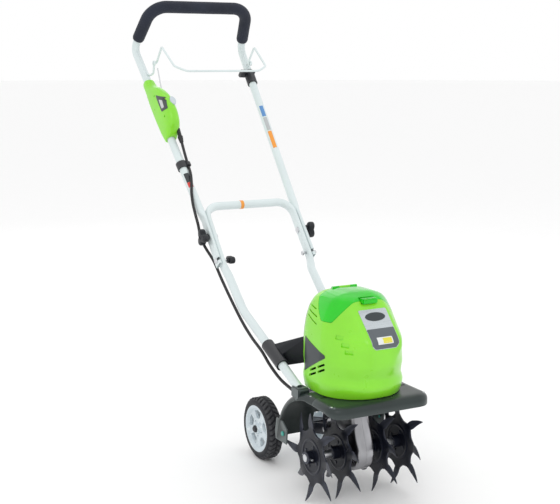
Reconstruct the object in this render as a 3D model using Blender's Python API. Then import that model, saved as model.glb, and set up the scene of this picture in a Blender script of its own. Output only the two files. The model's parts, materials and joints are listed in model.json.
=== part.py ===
"""Mini cultivator with a battery motor, a folding handle and four star tines. Metres, +Z up, front faces -Y.

Places are given as (x, y, z) with y counted back from the tine axis and z up from the ground. Every
object is then moved forward by CENTRE_Y, so that the origin lies on the ground below the middle.
"""

import math

import bmesh
import bpy
from mathutils import Matrix, Vector

CENTRE_Y = 0.3772  # tine axis to the middle of the machine's length
GAP = 0.0003  # between two pieces that touch

# Tines and drive
TINE_RADIUS = 0.0990
HUB = Vector((0, 0, 0.0990))
INNER_TINE_X = 0.045
OUTER_TINE_X = 0.107
SHAFT_RADIUS = 0.008
WORM_Y = 0.026
WORM_RADIUS = 0.0085
WORM_WHEEL_RADIUS = 0.0168
WORM_WHEEL_TEETH = 30

# Wheels
WHEEL_RADIUS = 0.0728
WHEEL_SIDES = 28
WHEEL_FACE_X = 0.0949
WHEEL_WIDTH = 0.038
RIM_RADIUS = 0.0584
AXLE_RADIUS = 0.004
# A flat of the tyre's polygon lies on the ground.
AXLE = Vector((0, 0.2831, WHEEL_RADIUS * math.cos(math.pi / WHEEL_SIDES)))
BRACKET_PIVOT = Vector((0, 0.078, 0.123))

# Handle tubes
TUBE_RADIUS = 0.010
TUBE_WALL = 0.0015
TUBE_SIDES = 12
FOAM_RADIUS = 0.0155
FOLD_PIVOT = Vector((0, 0.4575, 0.4985))
LOWER_LEG_X = 0.1165
LOWER_LEG_FLAT = 0.0055
UPPER_LEG_X = 0.1263
UPPER_LEG_FLAT = 0.004
LEG_RUN = Vector((0, 0.6435, 0.7654))  # direction of the legs at the fold joint
STOP_DISTANCE = 0.066  # fold bolt to lower bolt
LOWER_CROSSBAR = 0.0849  # fold bolt to crossbar
UPPER_LEG_FOOT = Vector((-0.1287, 0.5080, 0.5560))
KNEE = Vector((-0.1545, 0.8625, 0.9440))
GRIP_CORNER = Vector((-0.1345, 0.7807, 1.0470))
BOLT_RADIUS = 0.003

# Bail
BAIL_RADIUS = 0.0028
BAIL_PIVOT = Vector((0, 0.768, 0.905))
BAIL_ARM_X = 0.1303
LUG_X = 0.1370
LUG_HALF = 0.0025

# Switch box, measured along the left leg from its lower end
BOX_FOOT_Z = 0.721
BOX_WALL = 0.0025

# Body
DECK_TOP = 0.232
FENDER_RADIUS = 0.133
FENDER_HALF = 0.125
FENDER_WALL = 0.003
COVER_WALL = 0.0028
COVER_SPLIT_Y = 0.079
LID_HINGE = Vector((0, 0.0530, 0.4398))
LID_EDGE_RADIUS = 0.0925
LID_FLAP_Z = 0.3850
MOTOR_RADIUS = 0.030

# Cable, from the switch box to the deck; the points are its route
CABLE_RADIUS = 0.0035
CABLE_ROUTE = (
    (-0.1265, 0.6565, 0.7560),
    (-0.1250, 0.6445, 0.7415),
    (-0.1243, 0.6265, 0.7140),
    (-0.1240, 0.6100, 0.6885),
    (-0.1220, 0.5947, 0.6602),
    (-0.1264, 0.5680, 0.6406),
    (-0.1336, 0.5465, 0.6205),
    (-0.1407, 0.5308, 0.5980),
    (-0.1448, 0.5140, 0.5730),
    (-0.1450, 0.4980, 0.5470),
    (-0.1430, 0.4890, 0.5260),
    (-0.1410, 0.4845, 0.5060),
    (-0.1385, 0.4770, 0.4870),
    (-0.1340, 0.4600, 0.4680),
    (-0.1270, 0.4350, 0.4435),
    (-0.1220, 0.4040, 0.4060),
    (-0.1215, 0.3560, 0.3680),
    (-0.1215, 0.3000, 0.3285),
    (-0.1215, 0.2500, 0.3010),
    (-0.1195, 0.2030, 0.2790),
    (-0.1150, 0.1720, 0.2540),
    (-0.1110, 0.1300, 0.2320),
    (-0.1060, 0.0820, 0.2190),
    (-0.1040, 0.0630, 0.2130),
)

SIDES = {"left": -1, "right": 1}


# ---- Building blocks ----


def material(name, colour, roughness, metallic=0.0):
    made = bpy.data.materials.get(name)
    if made is None:
        made = bpy.data.materials.new(name)
        made.use_nodes = True
        shader = made.node_tree.nodes["Principled BSDF"]
        shader.inputs["Base Color"].default_value = (*colour, 1)
        shader.inputs["Roughness"].default_value = roughness
        shader.inputs["Metallic"].default_value = metallic
        made.diffuse_color = (*colour, 1)
    return made


def green_plastic():
    return material("green_plastic", (0.30, 0.80, 0.04), 0.35)


def lid_plastic():
    return material("lid_plastic", (0.05, 0.70, 0.05), 0.25)


def black_plastic():
    return material("black_plastic", (0.02, 0.022, 0.025), 0.5)


def fender_plastic():
    return material("fender_plastic", (0.045, 0.06, 0.055), 0.45)


def white_steel():
    return material("white_steel", (0.78, 0.86, 0.86), 0.35)


def bare_steel():
    return material("bare_steel", (0.55, 0.56, 0.58), 0.35, 1.0)


def tine_steel():
    return material("tine_steel", (0.05, 0.055, 0.08), 0.4, 0.6)


def cast_aluminium():
    return material("cast_aluminium", (0.60, 0.61, 0.62), 0.45, 1.0)


def soft_foam():
    return material("soft_foam", (0.02, 0.022, 0.035), 0.9)


def tyre_rubber():
    return material("tyre_rubber", (0.015, 0.015, 0.017), 0.8)


def rim_plastic():
    return material("rim_plastic", (0.62, 0.68, 0.70), 0.45)


def mirrored(point, side):
    """The point on the left (side -1) or right (side 1) of the machine."""
    return Vector((abs(point[0]) * side, point[1], point[2]))


def skin(rings, wrap=False):
    """A closed mesh over a row of rings of points, where a ring of one point is a tip."""
    bm = bmesh.new()
    rows = [[bm.verts.new(point) for point in ring] for ring in rings]
    pairs = list(zip(rows, rows[1:]))
    if wrap:
        pairs.append((rows[-1], rows[0]))
    for a, b in pairs:
        for i in range(max(len(a), len(b))):
            j = (i + 1) % max(len(a), len(b))
            if len(a) > 1 and len(b) > 1:
                bm.faces.new((a[i], a[j], b[j], b[i]))
            elif len(b) > 1:
                bm.faces.new((a[0], b[j], b[i]))
            elif len(a) > 1:
                bm.faces.new((a[i], a[j], b[0]))
    if not wrap:
        for row in (rows[0], rows[-1]):
            if len(row) > 2:
                bm.faces.new(row)
    bmesh.ops.recalc_face_normals(bm, faces=bm.faces[:])
    return bm


def piece(name, bm, look, pivot=(0, 0, 0)):
    """An object from a mesh, with its origin on pivot."""
    pivot = Vector(pivot)
    bmesh.ops.translate(bm, verts=bm.verts[:], vec=-pivot)
    mesh = bpy.data.meshes.new(name)
    bm.to_mesh(mesh)
    bm.free()
    mesh.materials.append(look)
    mesh.shade_smooth()
    mesh.set_sharp_from_angle(angle=math.radians(35))
    made = bpy.data.objects.new(name, mesh)
    made.location = pivot - Vector((0, CENTRE_Y, 0))
    bpy.context.scene.collection.objects.link(made)
    return made


def helper(name, bm):
    """A hidden shape that only cuts or joins."""
    made = piece(name, bm, black_plastic())
    made.hide_render = True
    made.display_type = "WIRE"
    return made


def combine(target, operation, bm, label):
    modifier = target.modifiers.new(label, "BOOLEAN")
    modifier.operation = operation
    modifier.object = helper(f"{target.name}_{label}", bm)
    return target


def cut(target, bm, label):
    return combine(target, "DIFFERENCE", bm, label)


def join(target, bm, label):
    return combine(target, "UNION", bm, label)


def across(axis):
    """Two directions square to axis; the first lies in the XY plane where it can."""
    axis = Vector(axis).normalized()
    flat = Vector((0, 0, 1)).cross(axis)
    first = flat.normalized() if flat.length > 0.01 else Vector((1, 0, 0))
    return first, axis.cross(first)


def circle(centre, axis, radius, sides, turn=0.0):
    u, v = across(axis)
    angles = [math.tau * (i + turn) / sides for i in range(sides)]
    return [Vector(centre) + radius * (math.cos(a) * u + math.sin(a) * v) for a in angles]


def turned(profile, start, axis, sides, wrap=False, turn=0.0):
    """A turned shape: profile holds (distance along axis, radius), and a radius of 0 makes a tip."""
    axis = Vector(axis).normalized()
    rings = []
    for distance, radius in profile:
        centre = Vector(start) + axis * distance
        rings.append(circle(centre, axis, radius, sides, turn) if radius else [centre])
    return skin(rings, wrap)


def rod(start, end, radius, sides=12):
    axis = Vector(end) - Vector(start)
    return turned([(0, radius), (axis.length, radius)], start, axis, sides)


def sleeve(start, end, outer, inner, sides=16):
    axis = Vector(end) - Vector(start)
    long = axis.length
    return turned([(0, outer), (long, outer), (long, inner), (0, inner)], start, axis, sides, wrap=True)


def block(low, high, bevel=0.0):
    bm = bmesh.new()
    bmesh.ops.create_cube(bm, size=1)
    middle = (Vector(low) + Vector(high)) / 2
    size = Vector(high) - Vector(low)
    matrix = Matrix.Translation(middle) @ Matrix.Diagonal((*size, 1))
    bmesh.ops.transform(bm, matrix=matrix, verts=bm.verts[:])
    if bevel:
        bmesh.ops.bevel(bm, geom=bm.edges[:], offset=bevel, segments=1, affect="EDGES")
    return bm


def prism(outline, x_from, x_to):
    """A flat outline of (y, z) points, extruded across the machine."""
    return skin([[Vector((x, y, z)) for y, z in outline] for x in (x_from, x_to)])


def turn_block(bm, centre, along):
    """Turns a shape built round the origin, with its length on Z, to lie along a direction at centre."""
    along = Vector(along).normalized()
    u = Vector((1, 0, 0)) - along * along.x
    u.normalize()
    v = along.cross(u)
    matrix = Matrix((u, v, along)).transposed().to_4x4()
    bmesh.ops.transform(bm, matrix=Matrix.Translation(centre) @ matrix, verts=bm.verts[:])
    return bm


def rounded_path(corners, step=23):
    """Points along a line of (point, radius) corners, each rounded by an arc in steps of about that angle."""
    points = []
    for index, (point, radius) in enumerate(corners):
        point = Vector(point)
        if not radius:
            points.append(point)
            continue
        into = (point - Vector(corners[index - 1][0])).normalized()
        out = (Vector(corners[index + 1][0]) - point).normalized()
        angle = into.angle(out)
        start = point - into * radius * math.tan(angle / 2)
        axis = into.cross(out).normalized()
        centre = start + axis.cross(into) * radius
        steps = max(2, round(math.degrees(angle) / step))
        for i in range(steps + 1):
            points.append(centre + Matrix.Rotation(angle * i / steps, 3, axis) @ (start - centre))
    return points


def carried_frames(path, first):
    """The path's tangents, and a sideways direction that turns with them and starts nearest to first."""
    tangents = []
    for i, point in enumerate(path):
        before = path[max(i - 1, 0)]
        after = path[min(i + 1, len(path) - 1)]
        into = (point - before).normalized() if i else Vector()
        out = (after - point).normalized() if i < len(path) - 1 else Vector()
        tangents.append((into + out).normalized())
    side = Vector(first)
    sides = []
    for i, tangent in enumerate(tangents):
        if i:
            side = tangents[i - 1].rotation_difference(tangent) @ side
        side = (side - tangent * side.dot(tangent)).normalized()
        sides.append(side)
    return list(zip(path, tangents, sides))


def flattened_ring(centre, tangent, side, radius, half, shrink):
    """A tube's section squeezed to a half thickness along side, with its outline as long as before."""
    wide = half + math.pi * (radius - half) / 2
    depth = tangent.cross(side)
    ring = []
    for i in range(TUBE_SIDES):
        a = math.tau * i / TUBE_SIDES
        flat = wide - half if abs(math.cos(a)) > 0.01 else 0.0
        reach = math.copysign(flat, math.cos(a)) + (half - shrink) * math.cos(a)
        ring.append(centre + depth * reach + side * (half - shrink) * math.sin(a))
    return ring


def hollow_tube(path, radius, wall, half_at=None):
    """A tube with open ends; half_at gives the half thickness at a point of its path."""
    outer = []
    inner = []
    for point, tangent, side in carried_frames(path, (1, 0, 0)):
        half = half_at(point) if half_at else radius
        outer.append(flattened_ring(point, tangent, side, radius, half, 0.0))
        inner.append(flattened_ring(point, tangent, side, radius, half, wall))
    return skin(outer + inner[::-1], wrap=True)


def both_sides(corners):
    """A path of (point, radius) corners up the left side, then its mirror image down the right."""
    right = [(mirrored(point, 1), radius) for point, radius in reversed(corners)]
    return [(mirrored(point, -1), radius) for point, radius in corners] + right


def bolt_place(distance, x):
    """The point that far down the leg from the fold pivot, at x."""
    place = FOLD_PIVOT - LEG_RUN * distance
    return Vector((x, place.y, place.z))


# ---- Handle tubes ----


def upper_leg_point(z, side=-1):
    """The middle of an upper leg at height z."""
    share = (z - UPPER_LEG_FOOT.z) / (KNEE.z - UPPER_LEG_FOOT.z)
    return mirrored(UPPER_LEG_FOOT.lerp(KNEE, share), side)


def upper_leg_run():
    return (KNEE - UPPER_LEG_FOOT).normalized()


def grip_points():
    """The foam's two ends on the left side, below and at the top bend."""
    return KNEE.lerp(GRIP_CORNER, 0.21), KNEE.lerp(GRIP_CORNER, 0.55)


def make_upper_handle():
    foot = bolt_place(0.078, -UPPER_LEG_X)
    flat_top = bolt_place(-0.052, -UPPER_LEG_X)
    corners = [(foot, 0), (flat_top, 0), (UPPER_LEG_FOOT, 0), (KNEE, 0.027), (grip_points()[0], 0)]
    corners.append((GRIP_CORNER, 0.048))
    path = rounded_path(both_sides(corners))

    def half_at(point):
        return UPPER_LEG_FLAT if point.z < flat_top.z + 0.001 else TUBE_RADIUS

    shape = hollow_tube(path, TUBE_RADIUS, TUBE_WALL, half_at)
    tube = piece("upper_handle", shape, white_steel(), FOLD_PIVOT)
    for name, side in SIDES.items():
        x = UPPER_LEG_X * side
        middle = Vector((x, FOLD_PIVOT.y, FOLD_PIVOT.z))
        reach = Vector((0.02, 0, 0))
        cut(tube, rod(middle - reach, middle + reach, BOLT_RADIUS + GAP), f"pivot_hole_{name}")
        stop = bolt_place(STOP_DISTANCE, x)
        forward = LEG_RUN.cross(Vector((1, 0, 0)))
        notch = block((-0.02, -0.0038, -0.0038), (0.02, 0.0038, 0.03))
        cut(tube, turn_block(notch, stop, -forward if forward.y > 0 else forward), f"notch_{name}")
        add_bail_hook(tube, name, side)
    return tube


def foam_path():
    start, _ = grip_points()
    corners = both_sides([(start, 0), (GRIP_CORNER, 0.048)])
    return rounded_path(corners)


def make_foam_grip():
    frames = carried_frames(foam_path(), (1, 0, 0))
    outer = [flattened_ring(p, t, s, FOAM_RADIUS, FOAM_RADIUS, 0) for p, t, s in frames]
    inner_radius = TUBE_RADIUS + GAP
    inner = [flattened_ring(p, t, s, inner_radius, inner_radius, 0) for p, t, s in frames]
    return piece("foam_grip", skin(outer + inner[::-1], wrap=True), soft_foam())


def lower_leg_corners():
    return [
        ((-0.110, 0.0500, 0.2335), 0),
        ((-0.110, 0.3128, 0.3466), 0.10),
        (bolt_place(0.111, -0.1105), 0),
        (bolt_place(0.079, -LOWER_LEG_X), 0),
        (bolt_place(-0.045, -LOWER_LEG_X), 0),
        (bolt_place(-LOWER_CROSSBAR, -0.1150), 0.036),
    ]


def make_lower_handle():
    path = rounded_path(both_sides(lower_leg_corners()))

    def half_at(point):
        up = (point - FOLD_PIVOT).dot(LEG_RUN)
        rounding = max((up - 0.057) / 0.025, (-up - 0.079) / 0.020)
        return LOWER_LEG_FLAT + (TUBE_RADIUS - LOWER_LEG_FLAT) * min(max(rounding, 0), 1)

    tube = piece("lower_handle", hollow_tube(path, TUBE_RADIUS, TUBE_WALL, half_at), white_steel())
    reach = Vector((0.03, 0, 0))
    for name, side in SIDES.items():
        for label, distance in (("pivot_hole", 0), ("stop_hole", STOP_DISTANCE)):
            middle = bolt_place(distance, LOWER_LEG_X * side)
            cut(tube, rod(middle - reach, middle + reach, BOLT_RADIUS + GAP), f"{label}_{name}")
    return tube


# ---- Fold joint hardware ----


def lobed_knob(start, axis, lobes, radius, waist, depth, hub_radius, hub_depth, bore_depth):
    """A knob with round lobes on a hub; start is the hub's face and axis points out of it."""
    axis = Vector(axis).normalized()
    u, v = across(axis)
    count = lobes * 6
    rings = []
    for distance, scale in ((hub_depth, 0.93), (hub_depth + 0.003, 1.0), (depth - 0.003, 1.0), (depth, 0.9)):
        ring = []
        for i in range(count):
            a = math.tau * i / count
            r = (waist + (radius - waist) * (0.5 + 0.5 * math.cos(lobes * a)) ** 0.8) * scale
            ring.append(Vector(start) + axis * distance + r * (math.cos(a) * u + math.sin(a) * v))
        rings.append(ring)
    knob = skin(rings)
    hub = rod(start, Vector(start) + axis * (hub_depth + 0.002), hub_radius)
    bore = rod(Vector(start) - axis * 0.002, Vector(start) + axis * bore_depth, BOLT_RADIUS + GAP)
    return knob, hub, bore


def make_fold_joint(name, side):
    inner_face = (LOWER_LEG_X - LOWER_LEG_FLAT - GAP) * side
    outer_face = (UPPER_LEG_X + UPPER_LEG_FLAT + GAP) * side
    tip = outer_face + 0.016 * side
    head = FOLD_PIVOT + Vector((inner_face, 0, 0))
    out = (side, 0, 0)
    profile = [(-0.0035, 0), (-0.0035, 0.005), (-0.0015, 0.008), (0, 0.008), (0, BOLT_RADIUS)]
    profile += [(abs(tip - inner_face), BOLT_RADIUS), (abs(tip - inner_face), 0)]
    piece(f"fold_bolt_{name}", turned(profile, head, out, 12), bare_steel(), FOLD_PIVOT)
    start = FOLD_PIVOT + Vector((outer_face, 0, 0))
    knob, hub, bore = lobed_knob(start, out, 3, 0.0215, 0.0115, 0.0215, 0.0085, 0.0070, 0.0175)
    made = piece(f"handle_knob_{name}", knob, black_plastic(), FOLD_PIVOT)
    join(made, hub, "hub")
    cut(made, bore, "bore")


def make_stop_bolts():
    """The lower bolts: the left one has a small wing knob on the inside, the right one a nut outside."""
    head_x = UPPER_LEG_X + UPPER_LEG_FLAT + GAP
    place = bolt_place(STOP_DISTANCE, 0)
    inside = 0.1128 - TUBE_RADIUS - GAP
    long = head_x - inside + 0.012
    shank = [(0, BOLT_RADIUS), (long, BOLT_RADIUS), (long, 0)]
    head = [(-0.003, 0), (-0.003, 0.0055), (0, 0.0065)]
    start = place + Vector((-head_x, 0, 0))
    piece("stop_bolt_left", turned(head + shank, start, (1, 0, 0), 12), bare_steel(), place)
    start = place + Vector((-inside, 0, 0))
    knob, hub, bore = lobed_knob(start, (1, 0, 0), 2, 0.0150, 0.0070, 0.0165, 0.0070, 0.0030, 0.0135)
    made = piece("stop_knob_left", knob, black_plastic(), place)
    join(made, hub, "hub")
    cut(made, bore, "bore")
    start = place + Vector((inside, 0, 0))
    long = head_x - inside + 0.0085
    shank = [(0, BOLT_RADIUS), (long, BOLT_RADIUS), (long, 0)]
    piece("stop_bolt_right", turned(head + shank, start, (1, 0, 0), 12), bare_steel(), place)
    start = place + Vector((head_x, 0, 0))
    nut = sleeve(start, start + Vector((0.0065, 0, 0)), 0.0060, 0.0039, 6)
    piece("stop_nut_right", nut, bare_steel(), place)


# ---- Bail ----


def bail_corners():
    arm = BAIL_ARM_X
    return [
        ((-LUG_X - LUG_HALF - 0.001, BAIL_PIVOT.y, BAIL_PIVOT.z), 0),
        ((-arm, BAIL_PIVOT.y, BAIL_PIVOT.z), 0.005),
        ((-arm, 0.7310, 0.9460), 0.007),
        ((-0.1270, 0.6590, 0.8980), 0.012),
        ((-0.1000, 0.6440, 0.8860), 0.020),
    ]


def make_bail():
    path = rounded_path(both_sides(bail_corners()), 28)
    frames = carried_frames(path, (0, 0, 1))
    rings = []
    for point, tangent, side in frames:
        v = tangent.cross(side)
        angles = [math.tau * i / 8 for i in range(8)]
        rings.append([point + BAIL_RADIUS * (math.cos(a) * side + math.sin(a) * v) for a in angles])
    return piece("bail", skin(rings), white_steel(), BAIL_PIVOT)


HOOK_CORNERS = {
    "left": (
        (-0.1500, 0.8000, 0.8860),
        (-0.1450, 0.7800, 0.8740),
        (-0.1380, 0.7710, 0.8790),
        (-LUG_X, 0.7685, 0.9000),
    ),
    "right": (
        (0.1515, 0.8190, 0.9060),
        (0.1480, 0.7980, 0.8990),
        (0.1400, 0.7830, 0.8990),
        (LUG_X, 0.7720, 0.9040),
    ),
}


def add_bail_hook(tube, name, side):
    """A rod welded to the front of the leg, which ends in the eye that the bail turns in."""
    corners = HOOK_CORNERS[name]
    points = [mirrored(point, side) for point in corners]
    path = rounded_path([(points[0], 0), (points[1], 0.008), (points[2], 0.008), (points[3], 0)], 35)
    rings = []
    for point, tangent, across_path in carried_frames(path, (1, 0, 0)):
        rings.append(flattened_ring(point, tangent, across_path, 0.0026, 0.0026, 0))
    join(tube, skin(rings), f"hook_{name}")
    eye = BAIL_PIVOT + Vector((LUG_X * side, 0, 0))
    half = Vector((LUG_HALF, 0, 0))
    join(tube, rod(eye - half, eye + half, 0.0066), f"eye_{name}")
    cut(tube, rod(eye - 3 * half, eye + 3 * half, BAIL_RADIUS + 2 * GAP), f"eye_bore_{name}")


def make_bail_rest():
    """The clip on the right leg, a sleeve with a wide collar."""
    low = upper_leg_point(0.8500, 1)
    high = upper_leg_point(0.8810, 1)
    run = upper_leg_run()
    run = mirrored((run.x, run.y, run.z), 1)
    made = piece("bail_rest", rod(low, high, 0.0135, 14), black_plastic())
    collar = block((-0.0280, -0.0125, -0.0110), (0.0145, 0.0125, 0.0008), 0.003)
    join(made, turn_block(collar, high, run), "collar")
    cut(made, rod(low - run * 0.02, high + run * 0.02, TUBE_RADIUS + 2.5 * GAP, 14), "leg_bore")
    return made


# ---- Switch box ----


def box_axes():
    """Up the leg, out of its front, and across it."""
    run = upper_leg_run()
    front = Vector((0, -run.z, run.y)).normalized()
    return run, front, run.cross(front).normalized()


def box_point(up, front, x):
    """A place in the switch box: up the leg, out of its front, and at x from the leg's middle."""
    run, out, _ = box_axes()
    return upper_leg_point(BOX_FOOT_Z) + run * up + out * front + Vector((x, 0, 0))


def box_rings(shrink):
    """Sections of the teardrop: (up the leg, front reach, back reach, outer width, inner width)."""
    sections = [
        (-0.004, 0.0165, 0.0135, 0.0140, 0.0140),
        (0.004, 0.0320, 0.0145, 0.0150, 0.0180),
        (0.013, 0.0490, 0.0150, 0.0160, 0.0220),
        (0.030, 0.0585, 0.0155, 0.0170, 0.0250),
        (0.053, 0.0630, 0.0155, 0.0175, 0.0255),
        (0.085, 0.0610, 0.0155, 0.0175, 0.0245),
        (0.110, 0.0520, 0.0150, 0.0170, 0.0225),
        (0.132, 0.0390, 0.0145, 0.0160, 0.0185),
        (0.155, 0.0210, 0.0140, 0.0145, 0.0150),
        (0.180, 0.0150, 0.0135, 0.0140, 0.0140),
    ]
    rings = []
    for index, (up, front, back, outer, inner) in enumerate(sections):
        if index in (0, len(sections) - 1) and shrink:
            continue
        ring = []
        for i in range(16):
            a = math.tau * (i + 0.5) / 16
            c = math.copysign(abs(math.cos(a)) ** 0.75, math.cos(a))
            s = math.copysign(abs(math.sin(a)) ** 0.75, math.sin(a))
            reach = (front if c > 0 else back) - shrink
            half = (inner if s > 0 else outer) - shrink
            ring.append(box_point(up, reach * c, half * s))
        rings.append(ring)
    return rings


def half_space(side, margin):
    """A large block on one side of the switch box's parting plane, which holds the leg's axis."""
    bm = block((0, -0.2, -0.1), (0.1, 0.2, 0.4)) if side > 0 else block((-0.1, -0.2, -0.1), (0, 0.2, 0.4))
    bmesh.ops.translate(bm, verts=bm.verts[:], vec=(margin * side, 0, 0))
    return turn_block(bm, upper_leg_point(BOX_FOOT_Z), upper_leg_run())


def gland_places():
    start = Vector(CABLE_ROUTE[1])
    along = (Vector(CABLE_ROUTE[2]) - start).normalized()
    return start, along


def button_place():
    """The middle of the lock-off button, in the front of the switch box."""
    return box_point(0.070, 0.0585, 0.0115)


def make_switch_box():
    leg_low = upper_leg_point(BOX_FOOT_Z - 0.03)
    leg_high = upper_leg_point(BOX_FOOT_Z + 0.20)
    gland, along = gland_places()
    for name, side in (("outer", -1), ("inner", 1)):
        made = piece(f"switch_box_{name}", skin(box_rings(0)), green_plastic())
        cut(made, skin(box_rings(BOX_WALL)), "hollow")
        cut(made, half_space(-side, -GAP / 2), "parting")
        cut(made, rod(leg_low, leg_high, TUBE_RADIUS + 2.5 * GAP, 14), "leg_bore")
        if side > 0:
            cut(made, rod(gland - along * 0.03, gland + along * 0.03, 0.0052), "gland_hole")
            low, high = rod_line()
            cut(made, rod(low, high + (high - low), 0.0026, 10), "rod_hole")
            cut(made, button_shape(0.0005, -0.0165, 0.02), "button_window")


def button_shape(grow, low, high):
    """A rounded plate, across the front of the box, from low to high along the front direction."""
    run, out, _ = box_axes()
    middle = button_place()
    sideways = out.cross(run).normalized()
    rings = []
    for depth in (low, high):
        ring = []
        for i in range(14):
            a = math.tau * i / 14
            spot = middle + out * depth + sideways * (0.0080 + grow) * math.cos(a)
            ring.append(spot + run * (0.0125 + grow) * math.sin(a))
        rings.append(ring)
    return skin(rings)


def make_lock_button():
    button = piece("lock_off_button", button_shape(0, -0.0110, 0.0055), rim_plastic(), button_place())
    _, out, _ = box_axes()
    foot = rod(button_place() - out * 0.0150, button_place() - out * 0.0100, 0.0035, 10)
    return join(button, foot, "foot")


def make_micro_switch():
    run, out, _ = box_axes()
    body = block((-0.0045, -0.0065, -0.010), (0.0045, 0.0065, 0.010))
    return piece("micro_switch", turn_block(body, box_point(0.070, 0.030, 0.0115), run), black_plastic())


def rod_line():
    return Vector((-0.1302, 0.7300, 0.8240)), Vector((-0.1302, 0.7620, 0.8930))


def make_pull_rod():
    low, high = rod_line()
    return piece("pull_rod", rod(low, high, 0.0016, 8), bare_steel(), high)


# ---- Cable ----


def smooth_route(route, spacing):
    """Points read from a curve through the route, about spacing apart."""
    knots = [Vector(point) for point in route]
    knots = [knots[0] * 2 - knots[1], *knots, knots[-1] * 2 - knots[-2]]
    points = [knots[1]]
    for a, b, c, d in zip(knots, knots[1:], knots[2:], knots[3:]):
        steps = max(1, round((c - b).length / spacing))
        for i in range(1, steps + 1):
            t = i / steps
            bend = (2 * a - 5 * b + 4 * c - d) * t * t + (3 * b - a - 3 * c + d) * t**3
            points.append(b + ((c - a) * t + bend) / 2)
    return points


def make_cable():
    points = smooth_route(CABLE_ROUTE, 0.016)
    curve = bpy.data.curves.new("power_cable", "CURVE")
    curve.dimensions = "3D"
    curve.bevel_depth = CABLE_RADIUS
    curve.bevel_resolution = 2
    curve.use_fill_caps = True
    spline = curve.splines.new("POLY")
    spline.points.add(len(points) - 1)
    for spot, point in zip(spline.points, points):
        spot.co = (*point, 1)
    curve.materials.append(black_plastic())
    made = bpy.data.objects.new("power_cable", curve)
    made.location = (0, -CENTRE_Y, 0)
    bpy.context.scene.collection.objects.link(made)
    return made


def make_gland():
    start, along = gland_places()
    bore = CABLE_RADIUS + 2 * GAP
    profile = [(-0.004, 0.0049), (0.0185, 0.0049), (0.0185, 0.0066), (0.021, 0.0066), (0.035, 0.0048)]
    profile += [(0.035, bore), (-0.004, bore)]
    return piece("cable_gland", turned(profile, start, along, 14, wrap=True), black_plastic())


def make_cable_clip():
    low = upper_leg_point(0.6485)
    high = upper_leg_point(0.6625)
    run = upper_leg_run()
    made = piece("cable_clip", rod(low, high, 0.0136, 14), black_plastic())
    cable = Vector(CABLE_ROUTE[4])
    ear = rod(cable - run * 0.0050, cable + run * 0.0050, 0.0074, 12)
    join(made, ear, "ear")
    cut(made, rod(low - run * 0.03, high + run * 0.03, TUBE_RADIUS + 2.5 * GAP, 14), "leg_bore")
    before = Vector(CABLE_ROUTE[3])
    after = Vector(CABLE_ROUTE[5])
    along = (after - before).normalized()
    cut(made, rod(cable - along * 0.02, cable + along * 0.02, CABLE_RADIUS + 5 * GAP, 12), "cable_bore")
    return made


# ---- Covers ----


def cover_rings(shrink):
    """Sections of the body over the deck, each with a flat panel across its front."""
    # height, half width, front reach, back reach, front roundness, half width of the panel
    sections = [
        (0.2335, 0.0925, 0.0860, 0.0960, 2.0, 0.000),
        (0.2540, 0.0960, 0.0950, 0.0985, 2.0, 0.000),
        (0.2700, 0.0930, 0.0930, 0.1000, 2.0, 0.000),
        (0.3000, 0.0925, 0.1030, 0.1045, 1.9, 0.016),
        (0.3380, 0.0905, 0.1095, 0.1080, 1.5, 0.036),
        (0.3560, 0.0885, 0.1080, 0.1080, 1.4, 0.038),
        (0.3800, 0.0845, 0.0850, 0.1060, 1.3, 0.038),
        (0.4020, 0.0780, 0.0640, 0.1020, 1.3, 0.037),
        (0.4190, 0.0690, 0.0470, 0.0950, 1.3, 0.035),
        (0.4300, 0.0590, 0.0370, 0.0850, 1.4, 0.031),
        (0.4370, 0.0450, 0.0260, 0.0690, 1.6, 0.023),
        (0.4410, 0.0260, 0.0130, 0.0460, 2.0, 0.010),
    ]
    top = sections[-1][0]
    rings = []
    for height, half, front, back, roundness, panel in sections:
        point = (1 - (panel / half) ** roundness) ** (-1 / roundness)
        ring = []
        for i in range(28):
            a = math.tau * i / 28
            power = 2 / (roundness if math.sin(a) < 0 else 4.0)
            x = math.copysign(abs(math.cos(a)) ** power, math.cos(a)) * (half - shrink)
            reach = (front * point if math.sin(a) < 0 else back) - shrink
            y = math.copysign(abs(math.sin(a)) ** power, math.sin(a)) * reach
            z = height - (shrink * height / top if height > 0.40 else 0)
            ring.append(Vector((x, max(y, shrink - front), z)))
        rings.append(ring)
    rings.append([Vector((0, 0.014, top + 0.0010 - shrink))])
    return rings


def cover_shell():
    return skin(cover_rings(0) + cover_rings(COVER_WALL)[::-1], wrap=True)


def lid_outline(grow):
    """The lid's side view, (y, z). Its front edge follows a circle about the hinge, so that it can open."""
    reach = LID_EDGE_RADIUS + grow
    outline = [(LID_HINGE.y + grow, 0.470)]
    outline += arc((LID_HINGE.y, LID_HINGE.z), reach, 161, 215, 8)
    foot = outline[-1]
    outline.append((foot[0] + 0.003, LID_FLAP_Z - grow))
    outline += [(0.0060 + grow, LID_FLAP_Z - grow), (0.0110 + grow, LID_FLAP_Z + 0.0025 - grow)]
    outline += [(0.0460 + grow, 0.4215 - grow), (LID_HINGE.y + grow, 0.4260 - grow)]
    return outline


def knuckle_rods(radius, spans):
    """Cylinders on the lid's hinge line over spans of x."""
    bms = []
    for low, high in spans:
        bms.append(rod(LID_HINGE + Vector((low, 0, 0)), LID_HINGE + Vector((high, 0, 0)), radius, 10))
    return bms


LID_KNUCKLES = ((-0.030, -0.014), (0.014, 0.030))
COVER_KNUCKLES = ((-0.0135, 0.0135),)


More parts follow.
